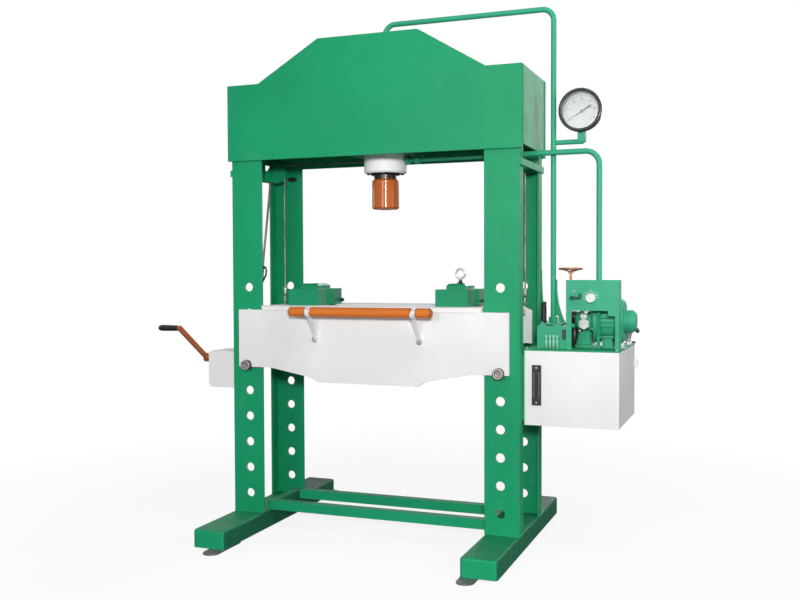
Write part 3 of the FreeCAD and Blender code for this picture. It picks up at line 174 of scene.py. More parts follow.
for name, place, aim, size, power in (
        ("key_lamp", (2.1, -5.3, 2.05), (0.2, 0, 1.1), 0.5, 198.0),
        ("sheen_lamp", (-0.4, -5.6, 2.3), (0.2, 0, 1.6), 1.1, 62.0),
        ("side_lamp", (4.4, -0.9, 2.2), (0.8, 0, 1.3), 1.8, 60.0),
        ("high_lamp", (1.2, -1.6, 4.6), (0.3, 0.1, 0.8), 1.8, 28.0),
        ("left_lamp", (-4.8, 0.9, 2.7), (-0.6, 0.1, 1.2), 1.8, 58.0),
        ("rear_lamp", (0.5, 6.2, 3.4), (0, 0.2, 1.2), 2.4, 120.0)):
    lamp_data = bpy.data.lights.new(name, "AREA")
    lamp_data.size = size
    lamp_data.energy = power
    lamp = bpy.data.objects.new(name, lamp_data)
    lamp.location = place
    lamp.rotation_euler = (Vector(aim) - Vector(place)).to_track_quat("-Z", "Y").to_euler()
    bpy.context.scene.collection.objects.link(lamp)
bpy.context.scene.view_settings.view_transform = "Standard"


# ------------ green frame
# Posts, feet, beam and base ring: steel angle and plate, welded and sprayed with green gloss
# paint. The paint has an orange-peel skin, cloudy patches, dust and rubbed edges.
def colour(red, green, blue):
    """A paint chip's screen values, 0 to 255, as the light values that a shader takes."""
    light = [((v / 255 + 0.055) / 1.055) ** 2.4 if v > 10 else v / 255 / 12.92
             for v in (red, green, blue)]
    return (*light, 1)


def shaded(coat, share):
    """A colour made lighter or darker."""
    return tuple(min(1, c * share) for c in coat[:3]) + (1,)


def noise(place, scale, detail, roughness=0.5):
    """Cloudy values round 0.5, with about that many clouds to the metre."""
    return place.make("ShaderNodeTexNoise", {}, {"Vector": place, "Scale": scale, "Detail": detail,
                                                 "Roughness": roughness})


def rounded(place, radius):
    """The surface's normal, softened round its edges by that radius."""
    return place.make("ShaderNodeBevel", {"samples": 4}, {"Radius": radius})


def rubbed(place, radius):
    """1 on sharp outer and inner edges, 0 on flat faces."""
    soft = rounded(place, radius)
    flat = place.make("ShaderNodeNewGeometry", {}, {}, "Normal")
    along = place.make("ShaderNodeVectorMath", {"operation": "DOT_PRODUCT"}, {0: soft, 1: flat},
                       "Value")
    return (1 - along).over(0.04, 0.28)


def grained(shader, place, relief, strength, depth, edge):
    """A fine relief in the surface, with its sharp edges softened by a radius."""
    place.make("ShaderNodeBump", {}, {"Strength": strength, "Distance": depth, "Height": relief,
                                      "Normal": rounded(place, edge)}).into(shader, "Normal")


def paint(name, coat, worn, dust, roughness, wear, change=None):
    """Sprayed enamel on steel: cloudy colour, dust, rubbed edges and a fine orange-peel skin.
    A change is a function that lays more colour over that, for one kind of piece."""
    finish, shader, place = new_finish(name)
    clouds = noise(place, scale=2.2, detail=4.0)
    blotches = noise(place, scale=14.0, detail=5.0, roughness=0.62)
    specks = noise(place, scale=260.0, detail=2.0)
    peel = noise(place, scale=420.0, detail=1.0) * 0.6 + noise(place, scale=38.0, detail=2.0) * 0.9
    thin_dust = blotches.over(0.56, 0.8) * 0.10
    worn_edges = rubbed(place, 0.004) * blotches.over(0.42, 0.62) * wear
    tone = clouds.over(0.3, 0.7).mixed(shaded(coat, 0.90), shaded(coat, 1.07))
    tone = worn_edges.mixed(thin_dust.mixed(tone, dust), worn)
    (change(place, tone) if change else tone).into(shader, "Base Color")
    (blotches.over(0.3, 0.75) * 0.12 + (roughness + specks * 0.05)).into(shader, "Roughness")
    grained(shader, place, peel, strength=0.16, depth=0.0006, edge=0.0022)
    fixed(shader, {"Specular IOR Level": 0.25})
    return finish


def coated(finish, *names):
    """The CAD model's own pieces in a finish."""
    for name in names:
        mesh = nodes[name].data
        mesh.materials.clear()
        mesh.materials.append(finish)


def position(place, axis):
    """How far a place lies along an axis."""
    return place.make("ShaderNodeSeparateXYZ", {}, {0: place}, axis)


def facing(place, axis):
    """How far the surface looks along an axis, from -1 to 1."""
    return position(place.make("ShaderNodeNewGeometry", {}, {}, "True Normal"), axis)


def middle(name):
    """The middle of a piece's box."""
    low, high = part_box(name)
    return [(a + b) / 2 for a, b in zip(low, high)]


enamel, rubbed_green, dusty_green = colour(13, 147, 98), colour(92, 150, 124), colour(120, 170, 150)
# The second colour is the dark green of the painted shade, with some dirt, near the floor.
bare_steel, shade_and_dirt_tone = colour(168, 160, 152), colour(14, 44, 32)
pin_row = 0.626  # from the press's middle to each row of pin holes
hole_reach = 0.0222  # just past the holes' radius
under_holes = 0.20  # no pin hole is lower
behind_posts = 0.22
middle_x = middle("beam_front_plate")[0]


def bored(place, tone):
    """Bare steel on the walls of the pin holes, which the drill left unpainted."""
    across = abs(abs(position(place, "X") - middle_x) - pin_row)
    wall = across.over(hole_reach + 0.001, hole_reach) * abs(facing(place, "Y")).over(0.6, 0.5)
    wall = wall * position(place, "Z").over(under_holes, under_holes + 0.01)
    return wall.mixed(tone, bare_steel)


def soiled(place, tone):
    """Painted shade on the long sides and the tops of what lies near the floor, deepest on the tops
    behind the posts, with blotches of oil and trodden dirt in it."""
    sides, tops = abs(facing(place, "X")).over(0.5, 0.9), facing(place, "Z").over(0.5, 0.9)
    smear = noise(place, scale=9.0, detail=5.0, roughness=0.6).over(0.2, 0.75)
    behind = position(place, "Y").over(behind_posts, behind_posts + 0.12)
    # Painted shade: the sides take an almost even dark, the tops a blotchy one, and tops behind the
    # posts more.
    shade_and_dirt_film = sides * (0.74 - smear * 0.14) + tops * (smear * 0.36 + 0.26)
    return (shade_and_dirt_film + tops * behind * 0.5).over(0.0, 1.0).mixed(tone, shade_and_dirt_tone)


green = paint("green_enamel", enamel, rubbed_green, dusty_green, roughness=0.40, wear=0.4)
post_green = paint("post_green_enamel", enamel, rubbed_green, dusty_green, roughness=0.40,
                   wear=0.4, change=bored)
# The feet and base ring carry painted shade, with oil and dirt, on their sides and tops.
floor_green = paint("floor_green_enamel", colour(17, 152, 103), rubbed_green, colour(60, 120, 96),
                    roughness=0.5, wear=0.4, change=soiled)
posts = ("post_front_left", "post_front_right", "post_rear_left", "post_rear_right")
coated(post_green, *posts)
coated(floor_green, "foot_left", "foot_right", "base_frame")
coated(green, "beam_front_plate", "beam_rear_plate", "beam_inner_plates", "sheave_brackets",
       "sheave_left", "sheave_right", "cylinder_barrel")


# ------------ weld beads on the frame
# The posts are welded to the feet and to the beam's plates, and the base ring to the feet. Each
# bead is a rippled half-round run of weld metal under the same paint.
def shown(form, name, finish, body, smooth=True):
    """A finished piece from a mesh in the making, riding on a body."""
    bmesh.ops.recalc_face_normals(form, faces=form.faces)
    mesh = bpy.data.meshes.new(name)
    form.to_mesh(mesh)
    form.free()
    mesh.materials.append(finish)
    if smooth:
        mesh.shade_smooth()
    piece = bpy.data.objects.new(name, mesh)
    bpy.context.scene.collection.objects.link(piece)
    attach(piece, body)
    return piece


def ringed(form, rings):
    """Skin over a row of rings of places, with a cap on each end."""
    rows = [[form.verts.new(place) for place in ring] for ring in rings]
    count = len(rows[0])
    for low, high in zip(rows, rows[1:]):
        for n in range(count):
            m = (n + 1) % count
            form.faces.new((low[n], low[m], high[m], high[n]))
    form.faces.new(rows[0])
    form.faces.new(rows[-1])


def circle(centre, side, up, radius, angles):
    """Places round a centre, in the plane of two directions."""
    return [centre + (side * math.cos(a) + up * math.sin(a)) * radius for a in angles]


def angles_of(count, first=0.0):
    """Angles in equal steps round a circle, from the first one, which is in degrees."""
    return [math.radians(360 / count * n + first) for n in range(count)]


def bead(form, start, end, radius):
    """A rippled weld bead between two places, thin at its ends."""
    ripple, angles = 0.006, angles_of(6)
    start, end = Vector(start), Vector(end)
    run = end - start
    along = run.normalized()
    side = along.orthogonal().normalized()
    up = along.cross(side)
    count = max(4, int(run.length / ripple))
    rings = []
    for n in range(count + 1):
        swell = radius * (1 + 0.16 * math.sin(n * 2.1) + 0.08 * math.sin(n * 0.73))
        if n in (0, count):
            swell *= 0.5
        rings.append(circle(start + run * (n / count), side, up, swell, angles))
    ringed(form, rings)


thin_bead, post_bead, beam_bead = 0.003, 0.0035, 0.0045
beam_low, beam_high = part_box("beam_front_plate")
form = bmesh.new()
for name in posts:
    low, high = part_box(name)
    x = low[0] if "left" in name else high[0]
    y = low[1] if "front" in name else high[1]
    bead(form, (x, low[1], low[2]), (x, high[1], low[2]), post_bead)
    bead(form, (low[0], y, low[2]), (high[0], y, low[2]), post_bead)
    bead(form, (low[0], y, beam_low[2]), (high[0], y, beam_low[2]), beam_bead)
ring_low, ring_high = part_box("base_frame")
ring_z = ring_low[2]
for y in (ring_low[1], ring_high[1]):
    for inner, outer in ((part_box("foot_left")[1][0], ring_low[0]),
                         (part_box("foot_right")[0][0], ring_high[0])):
        bead(form, (inner, y, ring_z), (outer, y, ring_z), thin_bead)
shown(form, "frame_welds", green, "frame")

# The beam's plates are welded along the bent covers and the end plates, all round their edges.
end_x, bend_x, crest_x = 0.727, 0.560, 0.245  # from the press's middle
foot_z, shoulder_z, crest_z = 1.808, 2.152, 2.340
form = bmesh.new()
for y in (beam_high[1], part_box("beam_rear_plate")[0][1]):
    for side in (-1, 1):
        foot, corner, bend, crest = ((middle_x + side * x, y, z) for x, z in (
            (end_x, foot_z), (end_x, shoulder_z), (bend_x, shoulder_z), (crest_x, crest_z)))
        for start, end in ((corner, bend), (bend, crest), (foot, corner)):
            bead(form, start, end, thin_bead)
shown(form, "beam_welds", green, "frame")


# ------------ floor plates
# Flame-cut steel plates welded under the ends of the feet. They are bare and dull, and each has
# a hole for a floor anchor.
def steel(name, coat, darker, roughness, scratch, metal=1.0):
    """Bare or lacquered metal: cloudy tone, darker stains and fine scratches along X."""
    finish, shader, place = new_finish(name)
    clouds = noise(place, scale=9.0, detail=5.0, roughness=0.6)
    stretch = (30.0, 160.0, 700.0)
    drawn = place.make("ShaderNodeVectorMath", {"operation": "MULTIPLY"}, {0: place, 1: stretch})
    lines = noise(drawn, scale=1.0, detail=3.0)
    scratched = lines * scratch + (roughness - scratch * 0.5)
    clouds.over(0.35, 0.7).mixed(coat, darker).into(shader, "Base Color")
    (clouds.over(0.3, 0.8) * 0.14 + scratched).into(shader, "Roughness")
    grained(shader, place, lines, strength=0.2, depth=0.0003, edge=0.0012)
    fixed(shader, {"Metallic": metal})
    return finish


plate_steel = steel("plate_steel", colour(138, 137, 134), colour(96, 94, 92), roughness=0.5,
                    scratch=0.2)
coated(plate_steel, "floor_plates")

# ------------ cylinder, gland and ram
# The gland nut is sprayed off-white, the rod is hard-chromed and ground, with a dark brown tone
# that is a painted reflection of dark surroundings, and the pressure head under it is sprayed
# orange and lacquered. Cap screws hold the gland, and a wiper ring its rod.
gland_white = paint("gland_white_enamel", colour(246, 246, 245), colour(200, 200, 196),
                    colour(214, 212, 206), roughness=0.42, wear=0.3)
head_orange = paint("head_orange_lacquer", colour(184, 92, 18), colour(112, 64, 30),
                    colour(160, 88, 34), roughness=0.42, wear=0.7)
fixed(head_orange.node_tree.nodes["Principled BSDF"],
      {"Specular IOR Level": 0.2, "Coat Weight": 0.35, "Coat Roughness": 0.09})
# The rod's dark brown tone is a painted reflection of dark surroundings.
chrome_dark_reflection = steel("ground_rod", colour(74, 66, 60), colour(52, 46, 42), roughness=0.22, scratch=0.06)
dark = steel("oiled_black_steel", colour(66, 64, 64), colour(40, 39, 40), roughness=0.42,
             scratch=0.2)
coated(gland_white, "cylinder_gland")
coated(head_orange, "ram_head")
coated(chrome_dark_reflection, "ram_rod")


def turned(form, profile, centre, axis, steps):
    """Skin of revolution: the profile is a list of (radius, place along the axis)."""
    centre, axis = Vector(centre), Vector(axis).normalized()
    side = axis.orthogonal().normalized()
    up = axis.cross(side)
    angles = [math.tau * n / steps for n in range(steps)]
    rows = []
    for radius, along in profile:
        places = circle(centre + axis * along, side, up, radius, angles if radius else angles[:1])
        rows.append([form.verts.new(place) for place in places])
    for low, high in zip(rows, rows[1:]):
        for n in range(steps):
            m = (n + 1) % steps
            if len(low) == 1:
                form.faces.new((low[0], high[m], high[n]))
            elif len(high) == 1:
                form.faces.new((low[n], low[m], high[0]))
            else:
                form.faces.new((low[n], low[m], high[m], high[n]))


def cap_screw(form, centre, axis, size):
    """Socket-head cap screw with its hexagon socket."""
    turned(form, [(0, 0), (size, 0), (size, size * 0.9), (size * 0.88, size * 1.05),
                  (size * 0.5, size * 1.05), (size * 0.45, size * 0.5), (0, size * 0.45)],
           centre, axis, steps=18)


screw_ring, screw_sunk = 0.082, 0.001
wiper = [(0.0553, 0.002), (0.068, 0.002), (0.070, 0), (0.070, -0.004), (0.067, -0.006),
         (0.058, -0.006), (0.0553, -0.003)]
ram_x, ram_y, _ = middle("cylinder_gland")
gland_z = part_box("cylinder_gland")[0][2]
form = bmesh.new()
for turn in angles_of(8, 22.5):
    x, y = ram_x + math.cos(turn) * screw_ring, ram_y + math.sin(turn) * screw_ring
    cap_screw(form, (x, y, gland_z + screw_sunk), (0, 0, -1), size=0.0065)
shown(form, "gland_screws", dark, "frame")
form = bmesh.new()
turned(form, wiper, (ram_x, ram_y, gland_z), (0, 0, 1), steps=48)
shown(form, "rod_wiper", dark, "frame")


# ------------ bed
# Two deep side plates with a belly, joined by webs and topped by two deck plates, all welded and
# sprayed pale grey, with two bolted hooks on the front for the orange spare bar.
def round_bar(form, centre, axis, radius, low, high, steps):
    """A straight round or many-sided piece from low to high along its axis."""
    turned(form, [(0, low), (radius, low), (radius, high), (0, high)], centre, axis, steps)


hook_half, bolt_z = 0.009, 0.940  # half a hook's width, and the height of its bolt
washer_y, hexagon_y = ram_y - 0.2525, ram_y - 0.2495
bolt_hexagon = [(0, 0.007), (0.0108, 0.007), (0.0108, 0.0165), (0.0092, 0.0180), (0, 0.0180)]
neck_half, neck_fade, brown_start, brown_end = 0.0112, 0.0124, 0.0126, 0.0175
# The last colour is the painted shade on the bar's top.
bar_white, bar_edge, bar_tip, bar_top_shade = (colour(228, 228, 226), colour(104, 52, 26),
                                          colour(112, 58, 28), colour(128, 76, 44))
hooks_low, hooks_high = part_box("bar_hooks")
hooks_x = (hooks_low[0] + hook_half, hooks_high[0] - hook_half)
bar_low, bar_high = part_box("spare_bar")
bar_z = middle("spare_bar")[2]


def banded(place, tone):
    """Pale bands at the two necks that lie in the hooks, darker brown beside them and towards the
    bar's ends, and painted shade on its top."""
    for neck in hooks_x:
        away = abs(position(place, "X") - neck)
        tone = ((1 - away.over(brown_start, brown_end)) * 0.8).mixed(tone, bar_edge)
        tone = (1 - away.over(neck_half, neck_fade)).mixed(tone, bar_white)
    for end in (bar_low[0], bar_high[0]):
        away = abs(position(place, "X") - end)
        tone = ((1 - away.over(0.004, 0.016)) * 0.7).mixed(tone, bar_tip)
    # Painted shade: the bar darkens towards its top.
    upper = (position(place, "Z") - (bar_z - 0.003)).over(0.0, 0.030)
    return (upper * 0.45).mixed(tone, bar_top_shade)


pale = paint("pale_grey_enamel", colour(230, 230, 229), colour(190, 190, 187),
             colour(196, 192, 184), roughness=0.40, wear=0.35)
bar_orange = paint("bar_orange_enamel", colour(218, 118, 44), colour(120, 70, 44),
                   colour(176, 104, 60), roughness=0.36, wear=0.8, change=banded)
zinc = steel("zinc_plated_steel", colour(176, 178, 174), colour(142, 142, 136), roughness=0.36,
             scratch=0.16)
coated(pale, "bed_front_plate", "bed_rear_plate", "bed_deck", "bar_hooks")
coated(bar_orange, "spare_bar")
form = bmesh.new()
for x in hooks_x:
    round_bar(form, (x, washer_y, bolt_z), (0, -1, 0), radius=0.0135, low=0, high=0.0075, steps=24)
    turned(form, bolt_hexagon, (x, hexagon_y, bolt_z), (0, -1, 0), steps=6)
shown(form, "hook_bolts", zinc, "bed", smooth=False)

deck_half = 0.545
web_places = (0.172, 0.188, 0.522, 0.538)  # both faces of each web, from the middle
web_low, web_high = 0.83, 1.07
bed_low, bed_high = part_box("bed_front_plate")
back_low, back_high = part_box("bed_rear_plate")
form = bmesh.new()
for y in (bed_low[1], back_high[1]):
    bead(form, (ram_x - deck_half, y, bed_high[2]), (ram_x + deck_half, y, bed_high[2]), thin_bead)
for side in (-1, 1):
    for along in web_places:
        x = ram_x + side * along
        for y in (bed_high[1], back_low[1]):
            bead(form, (x, y, web_low), (x, y, web_high), thin_bead)
shown(form, "bed_welds", pale, "bed")

# ------------ V-blocks and lifting eye
# Two cast blocks in glossy dark green, each with a black knob on its right end. A forged eye with a
# bright ring is screwed into the right-hand one, and its neck is painted dark as shade.
knob_height, knob_inset = 1.114, 0.022
knob = [(0, 0.0003), (0.0045, 0.0003), (0.0045, 0.006), (0.0085, 0.007), (0.0100, 0.010),
        (0.0100, 0.017), (0.0085, 0.0205), (0, 0.0215)]
# Below this drop the eye's neck takes painted shade.
neck_drop = 0.058  # from the eye's top down to where its neck is black
block_green = paint("block_green_enamel", colour(20, 136, 94), colour(18, 74, 54),
                    colour(96, 150, 128), roughness=0.24, wear=0.9)
black = steel("black_enamel", colour(34, 34, 35), colour(20, 20, 21), roughness=0.38, scratch=0.1,
              metal=0.0)
coated(block_green, "v_block_left", "v_block_right")
for side in ("left", "right"):
    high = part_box("v_block_" + side)[1]
    form = bmesh.new()
    turned(form, knob, (high[0], high[1] - knob_inset, knob_height), (1, 0, 0), steps=28)
    shown(form, "block_knob_" + side, black, "block_" + side)

eye_steel, shader, place = new_finish("forged_eye_steel")
eye_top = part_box("lifting_eye")[1][2]
# Painted shade: below the neck line the eye is dark grey and not metallic.
clear_of_neck_shade = (position(place, "Z") - (eye_top - neck_drop)).over(0.0, 0.008)
wear = noise(place, scale=60.0, detail=4.0)
bright = wear.over(0.35, 0.7).mixed(colour(176, 180, 178), colour(216, 220, 218))
clear_of_neck_shade.mixed(colour(44, 46, 46), bright).into(shader, "Base Color")
(wear * 0.2 + 0.24).into(shader, "Roughness")
(clear_of_neck_shade * 0.5).into(shader, "Metallic")
place.make("ShaderNodeBump", {}, {"Strength": 0.2, "Distance": 0.0004, "Height": wear}).into(
    shader, "Normal")
coated(eye_steel, "lifting_eye")

# ------------ support pins
# Turned bars of oiled steel with a dished head. Faces that look to the front are painted light grey
# as lit and all others dark as shade. A lock ring stands round the head, and a smaller ring and a
# centre stud stand in its dish.
pin_steel, shader, place = new_finish("turned_pin_steel")
rust = noise(place, scale=90.0, detail=4.0)
rings = noise(place, scale=700.0, detail=2.0)
shaded_pin_sides = rust.over(0.3, 0.7).mixed(colour(52, 50, 50), colour(74, 70, 68))
lit_pin_face = rust.over(0.3, 0.75).mixed(colour(150, 144, 140), colour(178, 172, 168))
# Painted light and shade: front faces take the lit grey, all other faces the shaded dark.
(0 - facing(place, "Y")).over(0.6, 0.9).mixed(shaded_pin_sides, lit_pin_face).into(shader, "Base Color")
(rust * 0.2 + 0.34).into(shader, "Roughness")
fixed(shader, {"Metallic": 0.35})
grained(shader, place, rings, strength=0.15, depth=0.0003, edge=0.001)
coated(pin_steel, "support_pin_left", "support_pin_right")
lock_ring = [(0.0150, 0.0006), (0.0150, -0.0075), (0.0165, -0.0095), (0.0232, -0.0095),
             (0.0252, -0.0075), (0.0252, 0.0096), (0.0245, 0.0107)]
inner_ring = [(0.009, 0.0025), (0.009, -0.0012), (0.0125, -0.0022), (0.0165, -0.0012),
              (0.0165, 0.0005)]
stud = [(0, 0.0028), (0.0035, 0.0026), (0.0035, -0.0022), (0.0025, -0.003), (0, -0.003)]
for side in ("left", "right"):
    x, _, z = middle("support_pin_" + side)
    head = (x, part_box("support_pin_" + side)[0][1], z)
    form = bmesh.new()
    for profile, steps in ((lock_ring, 40), (inner_ring, 32), (stud, 16)):
        turned(form, profile, head, (0, 1, 0), steps)
    shown(form, "pin_ring_" + side, pin_steel, "pin_" + side)

# ------------ hoist ropes
# Six-strand steel rope, 8 mm thick. The winch's rope takes hold of two ropes at a black clip; they
# run over the sheaves and drop to the lugs at the bed's ends, each held by a ferrule and a shackle.
rope_steel = steel("galvanised_rope", colour(150, 150, 148), colour(96, 95, 92), roughness=0.44,
                   scratch=0.1)


def strands(form, places, radius):
    """Laid rope along a row of places: six lobes that wind round it once in each lay."""
    lay, step, sides, lobes = radius * 13, radius * 1.1, 24, 6
    spots = []
    for start, end in zip(places, places[1:]):
        count = max(1, int((end - start).length / step))
        spots += [start.lerp(end, n / count) for n in range(count)]
    spots.append(places[-1])
    along, rings = 0.0, []
    side = (spots[1] - spots[0]).orthogonal().normalized()
    for n, spot in enumerate(spots):
        ahead, behind = spots[min(n + 1, len(spots) - 1)], spots[max(n - 1, 0)]
        heading = (ahead - behind).normalized()
        side = (side - heading * side.dot(heading)).normalized()
        up = heading.cross(side)
        if n:
            along += (spot - spots[n - 1]).length
        turn = math.tau * along / lay
        ring = []
        for a in (math.tau * k / sides for k in range(sides)):
            swell = 0.86 + 0.14 * math.cos(lobes * (a - turn))
            ring.append(spot + (side * math.cos(a) + up * math.sin(a)) * radius * swell)
        rings.append(ring)
    ringed(form, rings)


rope = 0.004  # the rope's radius
bend = 0.040  # from a sheave's pin to the middle of the rope
sheave_z, lead_z, lug_top = 1.761, 1.700, 1.086  # the pins, the ropes' run-up, the bed's lugs
left_x, right_x = ram_x - 0.655, ram_x + 0.615  # the sheaves' pins
long_y, short_y = ram_y + 0.1225, ram_y + 0.1345
drop_places = ((left_x + bend, short_y), (right_x + bend, long_y))
drum_tangent = Vector((ram_x - 0.685, ram_y - 0.0795, 0.777))
clip = Vector((ram_x - 0.69017, ram_y + 0.02810, 1.255))
grip_gap = 0.0043  # from the clip's middle to each of the two ropes it holds


def on_sheave(x, y, first, last):
    """A place every ten degrees of the rope's bend round a sheave, from +X towards +Z."""
    count = max(2, abs(last - first) // 10)
    return [Vector((x + bend * math.cos(a), y, sheave_z + bend * math.sin(a)))
            for a in (math.radians(first + (last - first) * n / count) for n in range(count + 1))]


form = bmesh.new()
strands(form, [drum_tangent, clip], rope)
for y, aside, over in (
        (long_y, -grip_gap, on_sheave(left_x, long_y, 180, 90) + on_sheave(right_x, long_y, 90, 0)),
        (short_y, grip_gap, on_sheave(left_x, short_y, 180, 0))):
    start, lead = clip + Vector((0, aside, 0)), Vector((left_x - bend, y, lead_z))
    rise = [start, start.lerp(lead, 0.94), start.lerp(lead, 0.975) + Vector((0, -0.0004, 0)),
            lead + Vector((0, 0, 0.012))]
    strands(form, rise + over, rope)
rope_run = shown(form, "hoist_rope_run", rope_steel, "frame")
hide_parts("hoist_rope")
form = bmesh.new()
for x, y in drop_places:
    strands(form, [Vector((x, y, lug_top)), Vector((x, y, sheave_z))], rope)
drops = shown(form, "rope_drops", rope_steel, "frame")
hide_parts("drop_ropes")
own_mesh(drops)

lean = 0.23  # the ropes' slope towards +Y at the clip
clamp = [(0, -0.007), (0.0062, -0.007), (0.0075, -0.005), (0.0075, 0.005), (0.0062, 0.007),
         (0, 0.007)]
sleeve = [(0, -0.03), (0.008, -0.03), (0.0095, -0.024), (0.0095, -0.008), (0.008, -0.004),
          (0, -0.004)]
hook_run = [clip + Vector(p) for p in (
    (0.001, -0.006, -0.058), (0.010, -0.004, -0.040), (0.021, 0, -0.014), (0.023, 0.002, 0.008),
    (0.015, 0.004, 0.024), (0.003, 0.005, 0.028))]
form = bmesh.new()
for aside in (-grip_gap, grip_gap):
    for rise in (-0.018, 0.0, 0.018):
        place = (clip[0], clip[1] + aside + rise * lean, clip[2] + rise)
        turned(form, clamp, place, (0, lean, 1), steps=16)
strands(form, hook_run, radius=0.005)
turned(form, sleeve, (clip[0], clip[1] - 0.003, clip[2] - 0.012), (0, lean, 1), steps=20)
shown(form, "rope_clip", black, "frame")

ferrule = [(0.004, 0.050), (0.0075, 0.050), (0.0082, 0.053), (0.0082, 0.085), (0.0075, 0.088),
           (0.004, 0.088)]
loop_side = ((0.002, 0.049), (0.006, 0.038), (0.009, 0.024), (0.007, 0.010), (0.002, 0.0045))
form = bmesh.new()
for x, y in drop_places:
    turned(form, ferrule, (x, y, lug_top), (0, 0, 1), steps=20)
    for side in (-1, 1):
        loop = [Vector((x, y + side * out, lug_top + z)) for out, z in loop_side]
        strands(form, loop, radius=0.0032)
shown(form, "rope_ferrules", zinc, "bed")

bow_half, bow_rise, bow_z, bow_steps = 0.0125, 0.012, lug_top - 0.004, 12
legs_z, pin_z = lug_top - 0.034, lug_top - 0.032
shackle_pin = [(0, -0.021), (0.0068, -0.021), (0.0068, -0.015), (0.004, -0.015), (0.004, 0.015),
               (0.0068, 0.015), (0.0068, 0.021), (0, 0.021)]
form = bmesh.new()
for x, y in drop_places:
    bow = [Vector((x, y + bow_half, legs_z))]
    for turn in (math.radians(180 * n / bow_steps) for n in range(bow_steps + 1)):
        bow.append(Vector((x, y + bow_half * math.cos(turn), bow_z + bow_rise * math.sin(turn))))
    bow.append(Vector((x, y - bow_half, legs_z)))
    strands(form, bow, radius=0.0042)
    turned(form, shackle_pin, (x, y, pin_z), (0, 1, 0), steps=16)
shown(form, "lug_shackles", zinc, "bed")


# ------------ sheave bosses, guard and slot shade
# A boss and a nut hold each sheave's pin, a thin plate guards the ropes behind the left-hand post,
# and a black oval on the rear post beside the sheave is painted shade of a slot in its web.
def swept(form, outline, axis, origin, depths):
    """A straight piece: an outline in the two other axes, swept along this one."""
    rings = []
    for depth in depths:
        ring = []
        for pair in outline:
            place = list(pair)
            place.insert("XYZ".index(axis), depth)
            ring.append([a + b for a, b in zip(origin, place)])
        rings.append(ring)
    ringed(form, rings)


def oblong(x0, z0, x1, z1):
    """An outline with square corners, from one corner to the opposite one."""
    return [(x0, z0), (x1, z0), (x1, z1), (x0, z1)]


boss_y = ram_y + 0.1086
boss = [(0, 0), (0.026, 0), (0.026, 0.003), (0.024, 0.005), (0.017, 0.005), (0.017, 0.0065),
        (0, 0.0065)]
boss_nut = [(0, 0.006), (0.0135, 0.006), (0.0135, 0.015), (0.0115, 0.0165), (0, 0.0165)]
guard_sheet, guard_faces = oblong(-0.068, 1.745, 0.115, 1.812), (-0.7145, -0.7215)
form = bmesh.new()
for x in (left_x, right_x):
    turned(form, boss, (x, boss_y, sheave_z), (0, -1, 0), steps=32)
    turned(form, boss_nut, (x, boss_y, sheave_z), (0, -1, 0), steps=6)
shown(form, "sheave_bosses", green, "frame", smooth=False)
form = bmesh.new()
swept(form, guard_sheet, "X", (ram_x, ram_y, 0), guard_faces)
shown(form, "rope_guard", green, "frame", smooth=False)

# Painted shade: a thin black oval on the rear post's web stands for the shade in a slot.
slot_shade_x, slot_shade_z, slot_shade_half, slot_shade_rise, slot_shade_steps = -0.610, 1.737, 0.029, 0.0125, 28
slot_shade_rings = ((0.2128, 1.0), (0.2095, 1.0), (0.2085, 0.94), (0.2085, 0.8), (0.2105, 0.76))
oval = [(slot_shade_half * math.cos(a) + slot_shade_x, slot_shade_rise * math.sin(a) + slot_shade_z)
        for a in (math.tau * n / slot_shade_steps for n in range(slot_shade_steps))]
form = bmesh.new()
ringed(form, [[(ram_x + x * size + slot_shade_x * (1 - size), ram_y + y, z * size + slot_shade_z * (1 - size))
               for x, z in oval] for y, size in slot_shade_rings])
shown(form, "post_slot_shade", black, "frame", smooth=False)

# ------------ winch and crank
# Cast gear case in pale grey, bolted to the left-hand post, with three turns of rope on a drum
# behind it. The crank is a flat orange bar with a black moulded grip that turns on its pin.
winding, lay_step, turn_steps, wound_steps = 0.024, 0.0081, 24, 70
drum_start = (ram_x - 0.685, ram_y - 0.1035, 0.777)
crank_paint = paint("crank_worn_enamel", colour(172, 92, 52), colour(206, 168, 142),
                    colour(92, 62, 46), roughness=0.34, wear=1.0)
coated(pale, "winch_case")
coated(dark, "rope_drum")
coated(crank_paint, "crank")
wound = []
for n in range(wound_steps):
    turn = -math.tau * n / turn_steps
    wound.append(Vector((drum_start[0] + lay_step * n / turn_steps,
                         drum_start[1] + winding * math.cos(turn),
                         drum_start[2] + winding * math.sin(turn))))
form = bmesh.new()
strands(form, wound, rope)
shown(form, "drum_rope", rope_steel, "drum")


def moulded(name, coat, roughness, grain):
    """Moulded plastic, rubber or print with a fine grain."""
    finish, shader, place = new_finish(name)
    clouds = noise(place, scale=22.0, detail=3.0)
    clouds.over(0.3, 0.7).mixed(shaded(coat, 0.85), coat).into(shader, "Base Color")
    (clouds * 0.14 + (roughness - 0.07)).into(shader, "Roughness")
    grained(shader, place, noise(place, scale=900.0, detail=2.0), strength=grain, depth=0.0003,
            edge=0.001)
    fixed(shader, {"Specular IOR Level": 0.35})
    return finish


screw_inset, case_step = 0.022, 0.0068  # the screws sit on the case's stepped side
crank_hub = (ram_x - 0.9035, ram_y - 0.1715, 0.830)
case_low, case_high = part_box("winch_case")
rubber = moulded("black_grip_plastic", colour(20, 21, 21), roughness=0.5, grain=0.25)
coated(rubber, "crank_grip")
form = bmesh.new()
for y in (case_low[1] + screw_inset, case_high[1] - screw_inset):
    for z in (case_low[2] + screw_inset, case_high[2] - screw_inset):
        cap_screw(form, (case_low[0] + case_step, y, z), (-1, 0, 0), size=0.0055)
cap_screw(form, crank_hub, (-1, 0, 0), size=0.007)
shown(form, "winch_screws", zinc, "frame")


